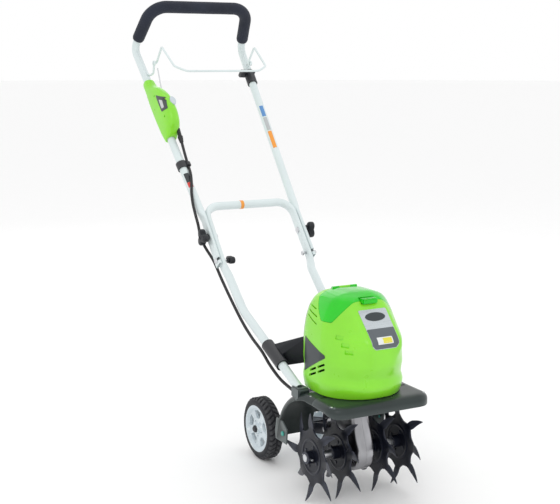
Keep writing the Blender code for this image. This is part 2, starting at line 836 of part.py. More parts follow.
def hinge_knuckles(made, own, other):
    for i, bm in enumerate(knuckle_rods(0.0038, [(a - 2 * GAP, b + 2 * GAP) for a, b in other])):
        cut(made, bm, f"knuckle_room_{i}")
    for i, bm in enumerate(knuckle_rods(0.0031, own)):
        join(made, bm, f"knuckle_{i}")
    cut(made, knuckle_rods(0.0016 + GAP, [(-0.04, 0.04)])[0], "pin_bore")


def latch_box(side_room, front_room, back_room):
    low = (-0.0180 - side_room, -0.0500 - front_room, 0.4225 - side_room)
    high = (0.0180 + side_room, -0.0340 + back_room, 0.4330 + side_room)
    return low, high


def make_covers():
    front = piece("front_cover", cover_shell(), green_plastic())
    cut(front, prism(lid_outline(GAP), -0.12, 0.12), "lid_opening")
    cut(front, block((-0.2, COVER_SPLIT_Y - GAP, 0.1), (0.2, 0.3, 0.6)), "rear_split")
    hinge_knuckles(front, COVER_KNUCKLES, LID_KNUCKLES)
    cut(front, block(*latch_box(0.0006, 0.0100, 0.0035)), "latch_room")
    rear = piece("rear_cover", cover_shell(), black_plastic())
    cut(rear, block((-0.2, -0.3, 0.1), (0.2, COVER_SPLIT_Y + GAP, 0.6)), "front_split")


def make_lid():
    lid = piece("battery_lid", cover_shell(), lid_plastic(), LID_HINGE)
    combine(lid, "INTERSECT", prism(lid_outline(-GAP), -0.12, 0.12), "lid_area")
    hinge_knuckles(lid, LID_KNUCKLES, COVER_KNUCKLES)
    cut(lid, block(*latch_box(0.0006, 0.0100, 0.0035)), "latch_room")
    pin = knuckle_rods(0.0016, [(-0.0295, 0.0295)])[0]
    piece("lid_hinge_pin", pin, bare_steel(), LID_HINGE)
    low, high = latch_box(0, 0, 0)
    return piece("lid_latch", block(low, high, 0.0015), lid_plastic(), (Vector(low) + Vector(high)) / 2)


# ---- Battery and drive ----


def make_battery():
    low, high = Vector((-0.040, -0.018, 0.3300)), Vector((0.040, 0.068, 0.4060))
    pack = piece("battery_pack", block(low, high, 0.005), black_plastic(), (0, 0.025, 0.33))
    key = (-0.012, -0.012, 0.4000), (0.012, 0.000, 0.4085)
    key_low = Vector(key[0]) - Vector((0.0005, 0.0005, 0.004))
    key_high = Vector(key[1]) + Vector((0.0005, 0.0005, 0.01))
    cut(pack, block(key_low, key_high), "key_room")
    look = material("release_grey", (0.3, 0.3, 0.32), 0.5)
    piece("battery_release", block(*key, 0.001), look, key[0])
    wall = Vector((0.004, 0.004, 0))
    room = Vector((0.001, 0.001, 0))
    floor = Vector((0, 0, 0.007))
    rim = Vector((high.x, high.y, 0.380))
    tray = piece("battery_tray", block(low - wall - floor, rim + wall), black_plastic())
    cut(tray, block(low - room - Vector((0, 0, 2 * GAP)), high + room + Vector((0, 0, 0.05))), "bay")


def make_control_board():
    board = block((-0.036, 0.0835, 0.250), (0.036, 0.0851, 0.315))
    return piece("control_board", board, material("board_green", (0.02, 0.20, 0.08), 0.5))


def worm_axis(z):
    return Vector((0, WORM_Y, z))


def make_motor():
    can = [(0, MOTOR_RADIUS), (0.064, MOTOR_RADIUS), (0.064, 0.006)]
    can += [(0.061, 0.006), (0.061, 0.0265), (0, 0.0265)]
    piece("motor_can", turned(can, worm_axis(0.2455), (0, 0, 1), 24, wrap=True), bare_steel())
    profile = [(0, 0), (0, 0.0035), (0.014, 0.0035), (0.016, WORM_RADIUS)]
    profile += [(0.046, WORM_RADIUS), (0.048, 0.0045)]
    profile += [(0.181, 0.0045), (0.183, 0.0245), (0.228, 0.0245), (0.231, 0.004), (0.249, 0.004), (0.249, 0)]
    rotor = turned(profile, worm_axis(HUB.z - 0.031), (0, 0, 1), 16)
    copper = material("copper", (0.55, 0.25, 0.10), 0.4, 1.0)
    piece("motor_rotor", rotor, copper, worm_axis(HUB.z))
    low = 0.3105
    hub = sleeve(worm_axis(low), worm_axis(low + 0.005), 0.009, 0.0043)
    fan = piece("cooling_fan", hub, rim_plastic(), worm_axis(low))
    blades = 6
    for i in range(blades):
        blade = block((0.0075, -0.0010, 0), (0.0240, 0.0010, 0.0050))
        turn = Matrix.Rotation(math.tau * i / blades, 4, "Z")
        place = Matrix.Translation(worm_axis(low))
        bmesh.ops.transform(blade, matrix=place @ turn, verts=blade.verts[:])
        join(fan, blade, f"blade_{i}")


def arc(centre, radius, first, last, steps):
    """(y, z) points on an arc, by angles in degrees from +Y towards +Z."""
    points = []
    for i in range(steps + 1):
        a = math.radians(first + (last - first) * i / steps)
        points.append((centre[0] + radius * math.cos(a), centre[1] + radius * math.sin(a)))
    return points


def gearbox_outline():
    outline = [(-0.008, 0.2440), (-0.013, 0.190)]
    outline += arc((0, HUB.z), 0.044, 165, 340, 12)
    outline += [(0.088, 0.104), (0.091, 0.110), (0.091, 0.136)]
    outline += [(0.088, 0.142), (0.060, 0.152), (0.058, 0.2440)]
    return outline


def make_gearbox(name, side):
    near = GAP / 2 * side
    far = 0.0215 * side
    body = prism(gearbox_outline(), near, far)
    edges = [e for e in body.edges if all(abs(v.co.x - far) < 1e-6 for v in e.verts)]
    bmesh.ops.bevel(body, geom=edges, offset=0.006, segments=2, affect="EDGES")
    made = piece(f"gearbox_{name}", body, cast_aluminium())
    wide = sorted((near, 0.034 * side))
    flange = block((wide[0], -0.014, DECK_TOP + GAP), (wide[1], 0.066, 0.2380))
    join(made, flange, "flange")
    deep = Vector((0.0085 * side, 0, 0))
    cut(made, rod(HUB - deep, HUB + deep, WORM_WHEEL_RADIUS + 0.0015, 24), "wheel_room")
    cut(made, rod(worm_axis(0.0640), worm_axis(0.2500), WORM_RADIUS + 0.0015, 16), "worm_room")
    cut(made, rod(HUB - Vector((0.03, 0, 0)), HUB + Vector((0.03, 0, 0)), 0.0115, 16), "shaft_bore")
    reach = Vector((0.03, 0, 0))
    cut(made, rod(BRACKET_PIVOT - reach, BRACKET_PIVOT + reach, AXLE_RADIUS + GAP), "bracket_bore")
    low = HUB + Vector((0.0145 * side, 0, 0))
    high = HUB + Vector((0.0210 * side, 0, 0))
    piece(f"shaft_seal_{name}", sleeve(low, high, 0.0112, SHAFT_RADIUS + 2 * GAP, 16), tyre_rubber())


def make_worm_wheel():
    teeth = WORM_WHEEL_TEETH
    rings = []
    for x in (-0.006, 0.006):
        outer = []
        for i in range(teeth * 2):
            a = math.tau * i / (teeth * 2)
            r = WORM_WHEEL_RADIUS - (0.0018 if i % 2 else 0)
            outer.append(HUB + Vector((x, r * math.cos(a), r * math.sin(a))))
        rings.append(outer)
    made = piece("worm_wheel", skin(rings), material("bronze", (0.50, 0.32, 0.12), 0.4, 1.0), HUB)
    cut(made, rod(HUB - Vector((0.01, 0, 0)), HUB + Vector((0.01, 0, 0)), SHAFT_RADIUS + GAP, 16), "bore")
    return made


def make_tine_shaft():
    end = Vector((0.1240, 0, 0))
    shaft = piece("tine_shaft", rod(HUB - end, HUB + end, SHAFT_RADIUS, 16), bare_steel(), HUB)
    for name, side in SIDES.items():
        low, high = pin_line(side)
        cut(shaft, rod(low, high, 0.0026, 8), f"pin_hole_{name}")


def pin_line(side):
    middle = HUB + Vector((0.1165 * side, 0, 0))
    reach = Vector((0, 0.0205, 0))
    return middle - reach, middle + reach


# ---- Tines ----


# radius, and the angles of the leading and trailing edge there, in degrees
CLAW = ((0.0700, -6.4, 8.2), (0.0810, -1.8, 7.4), (0.0905, 2.4, 7.4), (TINE_RADIUS, 6.6, 7.8))


def tine_point(x, radius, degrees, bend):
    """A point of a tine's middle plane; claws bend sideways more towards their tips."""
    a = math.radians(degrees)
    lean = bend * (max(radius - 0.05, 0) / 0.0485) ** 1.3
    return HUB + Vector((x + lean, radius * math.cos(a), radius * math.sin(a)))


def tine_sheet(x, phase):
    """The middle plane of a star with eight hooked claws, bent left and right in turn."""
    bm = bmesh.new()
    claws = 8
    pitch = 360 / claws
    hub_ring = [bm.verts.new(tine_point(x, 0.0105, phase + pitch * i / 3, 0)) for i in range(claws * 3)]
    rim_ring = []
    for i in range(claws * 3):
        radius = 0.0600 if i % 3 else 0.0540
        rim_ring.append(bm.verts.new(tine_point(x, radius, phase - 22.5 + pitch * i / 3, 0)))
    count = len(hub_ring)
    for i in range(count):
        j = (i + 1) % count
        bm.faces.new((hub_ring[i], hub_ring[j], rim_ring[j], rim_ring[i]))
    for i in range(claws):
        middle = phase + pitch * i
        bend = 0.0095 if i % 2 else -0.0095
        a = rim_ring[(3 * i + 1) % count]
        b = rim_ring[(3 * i + 2) % count]
        for radius, lead, trail in CLAW:
            c = bm.verts.new(tine_point(x, radius, middle + lead, bend))
            d = bm.verts.new(tine_point(x, radius, middle + trail, bend))
            bm.faces.new((a, b, d, c))
            a, b = c, d
    bmesh.ops.recalc_face_normals(bm, faces=bm.faces[:])
    return bm


def make_tine(name, x, phase, hub_from, hub_to):
    made = piece(name, tine_sheet(x, phase), tine_steel(), HUB)
    thick = made.modifiers.new("thick", "SOLIDIFY")
    thick.thickness = 0.0032
    thick.offset = 0
    low = HUB + Vector((hub_from, 0, 0))
    high = HUB + Vector((hub_to, 0, 0))
    join(made, sleeve(low, high, 0.0135, SHAFT_RADIUS + GAP, 16), "hub")
    if abs(x) == OUTER_TINE_X:
        low, high = pin_line(math.copysign(1, x))
        cut(made, rod(low, high, 0.0026, 8), "pin_hole")
    return made


def make_tines():
    for name, side in SIDES.items():
        inner = sorted((0.0245 * side, 0.0620 * side))
        outer = sorted((0.0900 * side, 0.1225 * side))
        make_tine(f"tine_inner_{name}", INNER_TINE_X * side, -103, *inner)
        make_tine(f"tine_outer_{name}", OUTER_TINE_X * side, -91.4, *outer)
        low, high = pin_line(side)
        pin = turned([(0, 0.0023), (0.041, 0.0023)], low, high - low, 8)
        piece(f"hitch_pin_{name}", pin, bare_steel(), HUB)


# ---- Fender ----


def fender_profile():
    """(y, z, half width, lip) along the deck, from its front edge over the top and down the back."""
    radius = FENDER_RADIUS
    rows = [(-0.1075, DECK_TOP - 0.0165, 0.0930, 0.002), (-0.1080, DECK_TOP - 0.0070, 0.0970, 0.006)]
    rows += [(-0.1060, DECK_TOP - 0.0025, 0.1010, 0.010), (-0.1010, DECK_TOP - 0.0006, 0.1085, 0.012)]
    rows += [(-0.0920, DECK_TOP, 0.1150, 0.014), (-0.0780, DECK_TOP, 0.1200, 0.014)]
    rows += [(-0.0600, DECK_TOP, 0.1215, 0.014)]
    rows += [(-0.0200, DECK_TOP, 0.1200, 0.014), (0.0150, DECK_TOP, 0.1220, 0.014)]
    for degrees in (72, 62, 52, 42, 32, 22, 12, 3):
        a = math.radians(degrees)
        rows.append((radius * math.cos(a), HUB.z + radius * math.sin(a), FENDER_HALF, 0.014))
    return rows


def fender_ring(y, z, normal, half, lip):
    """One closed section across the fender: a crowned top with a lip turned in at each side."""
    wall = FENDER_WALL
    outer = [(-half, -lip), (-half, -0.0085), (-half + 0.008, -0.0030), (-half * 0.74, 0)]
    outer += [(-x, depth) for x, depth in reversed(outer)]
    inner = [(half - wall, -lip), (half - wall, -0.0100), (half - 0.0095, -0.0060), (half * 0.73, -wall)]
    inner += [(-x, depth) for x, depth in reversed(inner)]
    ring = []
    for x, depth in outer + inner:
        ring.append(Vector((x, y + normal[0] * depth, z + normal[1] * depth)))
    return ring


def make_fender():
    rows = fender_profile()
    rings = []
    for i, (y, z, half, lip) in enumerate(rows):
        before = rows[max(i - 1, 0)]
        after = rows[min(i + 1, len(rows) - 1)]
        dy, dz = after[0] - before[0], after[1] - before[1]
        long = math.hypot(dy, dz)
        rings.append(fender_ring(y, z, (-dz / long, dy / long), half, max(lip, FENDER_WALL + 0.002)))
    made = piece("fender", skin(rings), fender_plastic())
    for name, side in SIDES.items():
        x = sorted((0.0970 * side, 0.1235 * side))
        join(made, block((x[0], 0.028, 0.2150), (x[1], 0.062, 0.2390)), f"tube_seat_{name}")
        cheek = [(0.128, 0.103), (0.131, 0.120), (0.125, 0.150)]
        cheek += [(0.098, 0.150), (0.078, 0.136), (0.080, 0.103)]
        x = sorted(((FENDER_HALF - 0.0035) * side, (FENDER_HALF - 0.0005) * side))
        join(made, prism(cheek, *x), f"cheek_{name}")
        low, high = (mirrored(lower_leg_corners()[i][0], side) for i in (0, 1))
        along = (high - low).normalized()
        bore = rod(low - along * 0.0005, low + along * 0.06, TUBE_RADIUS + 2.5 * GAP, 14)
        cut(made, bore, f"tube_bore_{name}")
        bolt = Vector(((FENDER_HALF - 0.002) * side, 0.0934, 0.1238))
        reach = Vector((0.01, 0, 0))
        cut(made, rod(bolt - reach, bolt + reach, 0.0033), f"cheek_hole_{name}")
    cut(made, block((-0.0222, -0.020, 0.20), (0.0222, 0.062, 0.25)), "gearbox_opening")
    cut(made, block((-0.033, 0.09, 0.05), (0.033, 0.16, 0.150)), "bracket_notch")
    end = Vector(CABLE_ROUTE[-1])
    before = Vector(CABLE_ROUTE[-2])
    cut(made, rod(before, end + (end - before), CABLE_RADIUS + 2 * GAP), "cable_hole")
    return made


def make_cheek_bolt(name, side):
    start = Vector(((FENDER_HALF + GAP) * side, 0.0934, 0.1238))
    profile = [(-0.0030, 0), (-0.0030, 0.0040), (-0.0012, 0.0055), (0, 0.0055)]
    profile += [(0, 0.003), (0.006, 0.003), (0.006, 0)]
    look = material("bolt_teal", (0.06, 0.35, 0.30), 0.4)
    return piece(f"fender_bolt_{name}", turned(profile, start, (-side, 0, 0), 12), look)


def make_brace():
    """The yoke behind the body, with a sleeve round each leg of the lower handle."""
    section = [(0.1115, 0.268), (0.1115, 0.322), (0.1180, 0.325)]
    section += [(0.1260, 0.320), (0.1300, 0.300), (0.1260, 0.270)]
    made = piece("handle_brace", prism(section, -0.060, 0.060), black_plastic())
    for name, side in SIDES.items():
        near = [Vector((0.0599 * side, y, z)) for y, z in section]
        far = [(0.148, 0.256), (0.141, 0.283), (0.150, 0.293), (0.176, 0.299), (0.182, 0.290), (0.166, 0.262)]
        tip = [Vector((0.1050 * side, y, z)) for y, z in far]
        join(made, skin([near, tip]), f"shoulder_{name}")
        foot, bend = (mirrored(lower_leg_corners()[i][0], side) for i in (0, 1))
        run = (bend - foot).normalized()
        low = foot + run * 0.080
        high = foot + run * 0.156
        join(made, rod(low, high, 0.0145, 14), f"sleeve_{name}")
        cut(made, rod(low - run * 0.03, high + run * 0.03, TUBE_RADIUS + 2.5 * GAP, 14), f"bore_{name}")
    return made


# ---- Wheels ----


def make_wheel_bracket():
    run = (AXLE - BRACKET_PIVOT).normalized()
    heading = math.degrees(math.atan2(run.z, run.y))
    outline = arc((AXLE.y, AXLE.z), 0.013, heading - 90, heading + 90, 6)
    outline += arc((BRACKET_PIVOT.y, BRACKET_PIVOT.z), 0.012, heading + 90, heading + 270, 6)
    inner, outer = 0.0250, 0.0280
    made = piece("wheel_bracket", prism(outline, -outer, -inner), tine_steel(), BRACKET_PIVOT)
    join(made, prism(outline, inner, outer), "right_plate")
    web = block((-outer + 0.001, -0.0115, 0.075), (outer - 0.001, -0.0085, 0.150))
    join(made, turn_block(web, BRACKET_PIVOT, run), "web")
    reach = Vector((0.05, 0, 0))
    cut(made, rod(BRACKET_PIVOT - reach, BRACKET_PIVOT + reach, AXLE_RADIUS + GAP), "pivot_bore")
    cut(made, rod(AXLE - reach, AXLE + reach, AXLE_RADIUS + GAP), "axle_bore")
    x = outer + GAP
    profile = [(-0.004, 0), (-0.004, 0.0065), (0, 0.0075), (0, AXLE_RADIUS)]
    profile += [(2 * x, AXLE_RADIUS), (2 * x, 0.0075)]
    profile += [(2 * x + 0.004, 0.0065), (2 * x + 0.004, 0)]
    bolt = turned(profile, BRACKET_PIVOT - Vector((x, 0, 0)), (1, 0, 0), 12)
    piece("bracket_pivot_bolt", bolt, bare_steel(), BRACKET_PIVOT)
    end = Vector((WHEEL_FACE_X + 0.003, 0, 0))
    piece("wheel_axle", rod(AXLE - end, AXLE + end, AXLE_RADIUS), bare_steel(), AXLE)


def tyre_profile():
    """(distance in from the wheel's outer face, radius) round the tyre's section."""
    wide = WHEEL_WIDTH
    top = WHEEL_RADIUS
    seat = RIM_RADIUS - 0.004
    outer = [(0.001, seat), (0, RIM_RADIUS + 0.003), (0.0015, top - 0.005), (0.006, top)]
    return outer + [(wide - distance, radius) for distance, radius in reversed(outer)]


def make_wheel(name, side):
    face = AXLE + Vector((WHEEL_FACE_X * side, 0, 0))
    inward = (-side, 0, 0)
    tyre = turned(tyre_profile(), face, inward, WHEEL_SIDES, wrap=True, turn=0.5)
    piece(f"tyre_{name}", tyre, tyre_rubber(), face)
    seat = RIM_RADIUS - 0.004 - GAP
    rim_section = [(0.001, seat), (0.001, seat - 0.005), (0.016, seat - 0.007)]
    rim_section += [(0.037, seat - 0.005), (0.037, seat)]
    ring = turned(rim_section, face, inward, WHEEL_SIDES, wrap=True, turn=0.5)
    rim = piece(f"rim_{name}", ring, rim_plastic(), face)
    hub_low = face - Vector((0.0010 * side, 0, 0))
    hub_high = face - Vector((0.0375 * side, 0, 0))
    join(rim, rod(hub_low, hub_high, 0.012, 14), "hub")
    for i in range(5):
        spoke = block((-0.0050, -0.006, 0.009), (0.0050, 0.006, seat - 0.003))
        turn = Matrix.Rotation(math.tau * i / 5, 4, "X")
        place = Matrix.Translation(face + Vector((-0.0115 * side, 0, 0)))
        bmesh.ops.transform(spoke, matrix=place @ turn, verts=spoke.verts[:])
        join(rim, spoke, f"spoke_{i}")
    reach = Vector((0.06, 0, 0))
    cut(rim, rod(face - reach, face + reach, AXLE_RADIUS + GAP), "bore")
    start = face + Vector((GAP * side, 0, 0))
    bore = AXLE_RADIUS + GAP
    cap = [(0.0036, 0), (0.0036, bore), (0, bore), (0, 0.0085)]
    cap += [(0.0025, 0.0085), (0.0055, 0.0055), (0.0055, 0)]
    piece(f"hub_cap_{name}", turned(cap, start, (side, 0, 0), 12), black_plastic(), face)


# ---- The whole machine ----


def clear_scene():
    for old in list(bpy.data.objects):
        bpy.data.objects.remove(old)


def main():
    clear_scene()
    make_upper_handle()
    make_foam_grip()
    make_lower_handle()
    make_stop_bolts()
    make_bail()
    make_bail_rest()
    make_switch_box()
    make_lock_button()
    make_micro_switch()
    make_pull_rod()
    make_cable()
    make_gland()
    make_cable_clip()
    make_covers()
    make_lid()
    make_battery()
    make_control_board()
    make_motor()
    make_worm_wheel()
    make_tine_shaft()
    make_tines()
    make_fender()
    make_brace()
    make_wheel_bracket()
    for name, side in SIDES.items():
        make_fold_joint(name, side)
        make_gearbox(name, side)
        make_cheek_bolt(name, side)
        make_wheel(name, side)


main()
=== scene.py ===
import json
import math

import bmesh
import bpy
from mathutils import Euler, Matrix, Vector
from mathutils.bvhtree import BVHTree

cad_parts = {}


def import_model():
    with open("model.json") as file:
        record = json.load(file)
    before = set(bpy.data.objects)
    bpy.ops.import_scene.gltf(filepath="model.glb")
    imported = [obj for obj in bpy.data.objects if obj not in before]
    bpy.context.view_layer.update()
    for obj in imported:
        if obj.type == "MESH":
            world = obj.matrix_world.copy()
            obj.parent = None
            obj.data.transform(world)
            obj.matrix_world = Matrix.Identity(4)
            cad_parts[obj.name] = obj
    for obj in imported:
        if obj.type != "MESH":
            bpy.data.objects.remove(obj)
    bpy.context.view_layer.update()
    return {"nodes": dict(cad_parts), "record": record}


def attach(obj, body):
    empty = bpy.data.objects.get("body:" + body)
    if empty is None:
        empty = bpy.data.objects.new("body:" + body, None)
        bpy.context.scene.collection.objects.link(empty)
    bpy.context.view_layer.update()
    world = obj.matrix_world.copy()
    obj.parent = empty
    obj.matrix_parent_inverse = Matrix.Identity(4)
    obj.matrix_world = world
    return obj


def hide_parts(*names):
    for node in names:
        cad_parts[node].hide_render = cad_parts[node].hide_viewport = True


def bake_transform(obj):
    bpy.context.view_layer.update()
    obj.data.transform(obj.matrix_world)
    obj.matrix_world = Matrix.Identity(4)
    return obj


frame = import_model()
NODES = frame["nodes"]

# Lengths are in metres. Places are counted like the CAD's, with y from the tine axis, and moved by CENTRE_Y.
CENTRE_Y = 0.3772
GAP = 0.0003
HUB = Vector((0, 0, 0.0990))
AXLE = Vector((0, 0.2831, 0.0723426))
FOLD_PIVOT = Vector((0, 0.4575, 0.4985))
LEG_RUN = Vector((0, 0.6435, 0.7654))
KNEE = Vector((-0.1545, 0.8625, 0.9440))
GRIP_CORNER = Vector((-0.1345, 0.7807, 1.0470))
UPPER_LEG_FOOT = Vector((-0.1287, 0.5080, 0.5560))
GRIP_BEND = 0.048
GRIP_FOOT = KNEE.lerp(GRIP_CORNER, 0.21)
LOWER_LEG_FOOT = Vector((-0.110, 0.0500, 0.2335))
LOWER_LEG_BEND = Vector((-0.110, 0.3128, 0.3466))
BAIL_PIVOT = Vector((0, 0.768, 0.905))
LID_HINGE = Vector((0, 0.0530, 0.4398))
TUBE_RADIUS = 0.010
FOAM_RADIUS = 0.0155
CABLE_RADIUS = 0.0035
BOLT_BORE = 0.0033
SIDES = {"left": -1, "right": 1}

CABLE_ROUTE = (
    (-0.1265, 0.6565, 0.7560), (-0.1250, 0.6445, 0.7415), (-0.1243, 0.6265, 0.7140),
    (-0.1240, 0.6100, 0.6885), (-0.1220, 0.5947, 0.6602), (-0.1264, 0.5680, 0.6406),
    (-0.1336, 0.5465, 0.6205), (-0.1407, 0.5308, 0.5980), (-0.1448, 0.5140, 0.5730),
    (-0.1450, 0.4980, 0.5470), (-0.1430, 0.4890, 0.5260), (-0.1410, 0.4845, 0.5060),
    (-0.1385, 0.4770, 0.4870), (-0.1340, 0.4600, 0.4680), (-0.1270, 0.4350, 0.4435),
    (-0.1220, 0.4040, 0.4060), (-0.1215, 0.3560, 0.3680), (-0.1215, 0.3000, 0.3285),
    (-0.1215, 0.2500, 0.3010), (-0.1195, 0.2030, 0.2790), (-0.1150, 0.1720, 0.2540),
    (-0.1110, 0.1300, 0.2320), (-0.1060, 0.0820, 0.2190), (-0.1040, 0.0630, 0.2130),
)


def world(point):
    return Vector(point) - Vector((0, CENTRE_Y, 0))


# ---- Materials ----


def ramp(nodes, links, source, low, high, dark, light):
    made = nodes.new("ShaderNodeValToRGB")
    made.color_ramp.elements[0].position = low
    made.color_ramp.elements[1].position = high
    made.color_ramp.elements[0].color = (*dark, 1)
    made.color_ramp.elements[1].color = (*light, 1)
    links.new(source, made.inputs["Fac"])
    return made.outputs["Color"]


def noise(nodes, links, place, scale, detail=3.0, stretch=(1, 1, 1)):
    mapping = nodes.new("ShaderNodeMapping")
    mapping.inputs["Scale"].default_value = stretch
    links.new(place, mapping.inputs["Vector"])
    made = nodes.new("ShaderNodeTexNoise")
    made.inputs["Scale"].default_value = scale
    made.inputs["Detail"].default_value = detail
    links.new(mapping.outputs["Vector"], made.inputs["Vector"])
    return made.outputs["Fac"]


def look(name, colour, rough, metallic=0.0, vary=0.06, grain=900, bump=0.08, depth=0.0002,
         coat=0.0, sheen=0.0, edge=None, stretch=(1, 1, 1), subsurface=0.0, cells=False, shine=0.5):
    """A procedural finish: cloudy colour, uneven gloss, a fine surface grain and worn edges."""
    made = bpy.data.materials.new(name)
    made.use_nodes = True
    nodes, links = made.node_tree.nodes, made.node_tree.links
    shader = nodes["Principled BSDF"]
    shader.inputs["Metallic"].default_value = metallic
    shader.inputs["Specular IOR Level"].default_value = shine
    shader.inputs["Coat Weight"].default_value = coat
    shader.inputs["Coat Roughness"].default_value = 0.12
    shader.inputs["Sheen Weight"].default_value = sheen
    shader.inputs["Subsurface Weight"].default_value = subsurface
    shader.inputs["Subsurface Scale"].default_value = 0.004
    place = nodes.new("ShaderNodeTexCoord").outputs["Object"]
    cloud = noise(nodes, links, place, 14, 4.0, stretch)
    dark = tuple(c * (1 - vary) for c in colour)
    light = tuple(min(1, c * (1 + vary)) for c in colour)
    shade = ramp(nodes, links, cloud, 0.3, 0.7, dark, light)
    if edge:
        geometry = nodes.new("ShaderNodeNewGeometry")
        worn = ramp(nodes, links, geometry.outputs["Pointiness"], 0.53, 0.60, (0, 0, 0), (1, 1, 1))
        mix = nodes.new("ShaderNodeMix")
        mix.data_type = "RGBA"
        links.new(worn, mix.inputs["Factor"])
        links.new(shade, mix.inputs["A"])
        mix.inputs["B"].default_value = (*edge, 1)
        shade = mix.outputs["Result"]
    links.new(shade, shader.inputs["Base Color"])
    smudge = noise(nodes, links, place, 55, 5.0, stretch)
    span = nodes.new("ShaderNodeMapRange")
    span.inputs["To Min"].default_value = max(0.03, rough - 0.07)
    span.inputs["To Max"].default_value = min(1, rough + 0.07)
    links.new(smudge, span.inputs["Value"])
    links.new(span.outputs["Result"], shader.inputs["Roughness"])
    if cells:
        cell = nodes.new("ShaderNodeTexVoronoi")
        cell.inputs["Scale"].default_value = grain
        links.new(place, cell.inputs["Vector"])
        height = cell.outputs["Distance"]
    else:
        height = noise(nodes, links, place, grain, 2.0, stretch)
    bumped = nodes.new("ShaderNodeBump")
    bumped.inputs["Strength"].default_value = bump
    bumped.inputs["Distance"].default_value = depth
    links.new(height, bumped.inputs["Height"])
    links.new(bumped.outputs["Normal"], shader.inputs["Normal"])
    return made


LOOKS = {
    "white_steel": look("white_powder_coat", (0.66, 0.735, 0.74), 0.30,
                        vary=0.03, grain=1400, bump=0.12, coat=0.25),
    "green_plastic": look("lime_plastic", (0.235, 0.700, 0.022), 0.30,
                          vary=0.05, bump=0.05, coat=0.25, subsurface=0.04),
    "lid_plastic": look("clear_green_plastic", (0.018, 0.56, 0.012), 0.14,
                        vary=0.10, bump=0.03, coat=0.3, subsurface=0.10, shine=0.3),
    "black_plastic": look("black_plastic", (0.009, 0.011, 0.015), 0.36,
                          vary=0.15, grain=2200, bump=0.22, edge=(0.07, 0.07, 0.075), shine=0.3),
    "pale_plastic": look("pale_plastic", (0.55, 0.62, 0.66), 0.38, vary=0.04, grain=1800, bump=0.10),
    "rim_plastic": look("rim_plastic", (0.56, 0.63, 0.67), 0.42,
                        vary=0.06, grain=1500, bump=0.15, edge=(0.72, 0.78, 0.80)),
    "fender_plastic": look("fender_plastic", (0.018, 0.027, 0.026), 0.30,
                           vary=0.12, grain=1700, bump=0.22, edge=(0.10, 0.12, 0.12), shine=0.35),
    "bare_steel": look("zinc_steel", (0.56, 0.57, 0.59), 0.30, 1.0,
                       vary=0.12, bump=0.10, edge=(0.75, 0.76, 0.78)),
    # The tines are black steel. Their base colour is darker still, with a low specular level, as painted
    # shade for the shadow under the deck.
    "tine_steel": look("tine_black_with_painted_shade", (0.0075, 0.0090, 0.0160), 0.30, 0.0,
                       vary=0.30, grain=700, bump=0.20, edge=(0.05, 0.055, 0.075), shine=0.22),
    "cast_aluminium": look("cast_aluminium", (0.42, 0.42, 0.44), 0.30, 1.0,
                           vary=0.35, grain=1100, bump=0.30, stretch=(1, 1, 0.3)),
    "cable_rubber": look("cable_rubber", (0.012, 0.012, 0.014), 0.48, vary=0.2, grain=1600, bump=0.15),
    "seal_rubber": look("seal_rubber", (0.014, 0.014, 0.016), 0.65, vary=0.2, bump=0.2),
    "tyre": look("tyre_rubber", (0.014, 0.015, 0.019), 0.62,
                 vary=0.25, grain=1300, bump=0.35, edge=(0.045, 0.046, 0.05), shine=0.3),
    "grip_foam": look("grip_foam", (0.010, 0.014, 0.028), 0.82,
                      vary=0.18, grain=1500, bump=0.7, depth=0.0004, sheen=0.05, cells=True),
    "circuit_board": look("circuit_board", (0.02, 0.18, 0.07), 0.4, vary=0.3, grain=500, bump=0.4),
    "rotor_metal": look("rotor_metal", (0.50, 0.27, 0.12), 0.35, 0.9, vary=0.25, stretch=(1, 1, 9)),
    "bronze": look("bronze", (0.50, 0.32, 0.12), 0.30, 1.0, vary=0.12),
    "bolt_teal": look("teal_cap", (0.04, 0.33, 0.27), 0.35, vary=0.1, bump=0.1),
}


def dress_nodes():
    """Gives each CAD node the finish of its material slot."""
    for entry in frame["record"]["subparts"]:
        mesh = NODES[entry["node"]].data
        mesh.materials.clear()
        mesh.materials.append(LOOKS[entry["material_slot"]])


# ---- Building blocks ----


def mirrored(point, side):
    return Vector((abs(point[0]) * side, point[1], point[2]))


def across(axis):
    axis = Vector(axis).normalized()
    flat = Vector((0, 0, 1)).cross(axis)
    first = flat.normalized() if flat.length > 0.01 else Vector((1, 0, 0))
    return first, axis.cross(first)


def skin(rings, wrap=False):
    """A closed mesh over a row of rings of points, where a ring of one point is a tip."""
    bm = bmesh.new()
    rows = [[bm.verts.new(point) for point in ring] for ring in rings]
    pairs = list(zip(rows, rows[1:]))
    if wrap:
        pairs.append((rows[-1], rows[0]))
    for a, b in pairs:
        count = max(len(a), len(b))
        for i in range(count):
            j = (i + 1) % count
            if len(a) > 1 and len(b) > 1:
                bm.faces.new((a[i], a[j], b[j], b[i]))
            elif len(b) > 1:
                bm.faces.new((a[0], b[j], b[i]))
            elif len(a) > 1:
                bm.faces.new((a[i], a[j], b[0]))
    if not wrap:
        for row in (rows[0], rows[-1]):
            if len(row) > 2:
                bm.faces.new(row)
    bmesh.ops.recalc_face_normals(bm, faces=bm.faces[:])
    return bm


def circle(centre, u, v, radius, sides):
    angles = [math.tau * i / sides for i in range(sides)]
    return [centre + radius * (math.cos(a) * u + math.sin(a) * v) for a in angles]


def turned(profile, start, axis, sides, wrap=False):
    """A solid of revolution over (distance, radius) rows, where a radius of 0 is a tip."""
    axis = Vector(axis).normalized()
    u, v = across(axis)
    rings = []
    for distance, radius in profile:
        centre = Vector(start) + axis * distance
        rings.append(circle(centre, u, v, radius, sides) if radius else [centre])
    return skin(rings, wrap)


def rod(start, end, radius, sides=24):
    axis = Vector(end) - Vector(start)
    return turned([(0, radius), (axis.length, radius)], start, axis, sides)


def pin(middle, half, radius, sides=24):
    """A rod centred on a point, reaching half to each side of it."""
    half = Vector(half)
    return rod(middle - half, middle + half, radius, sides)


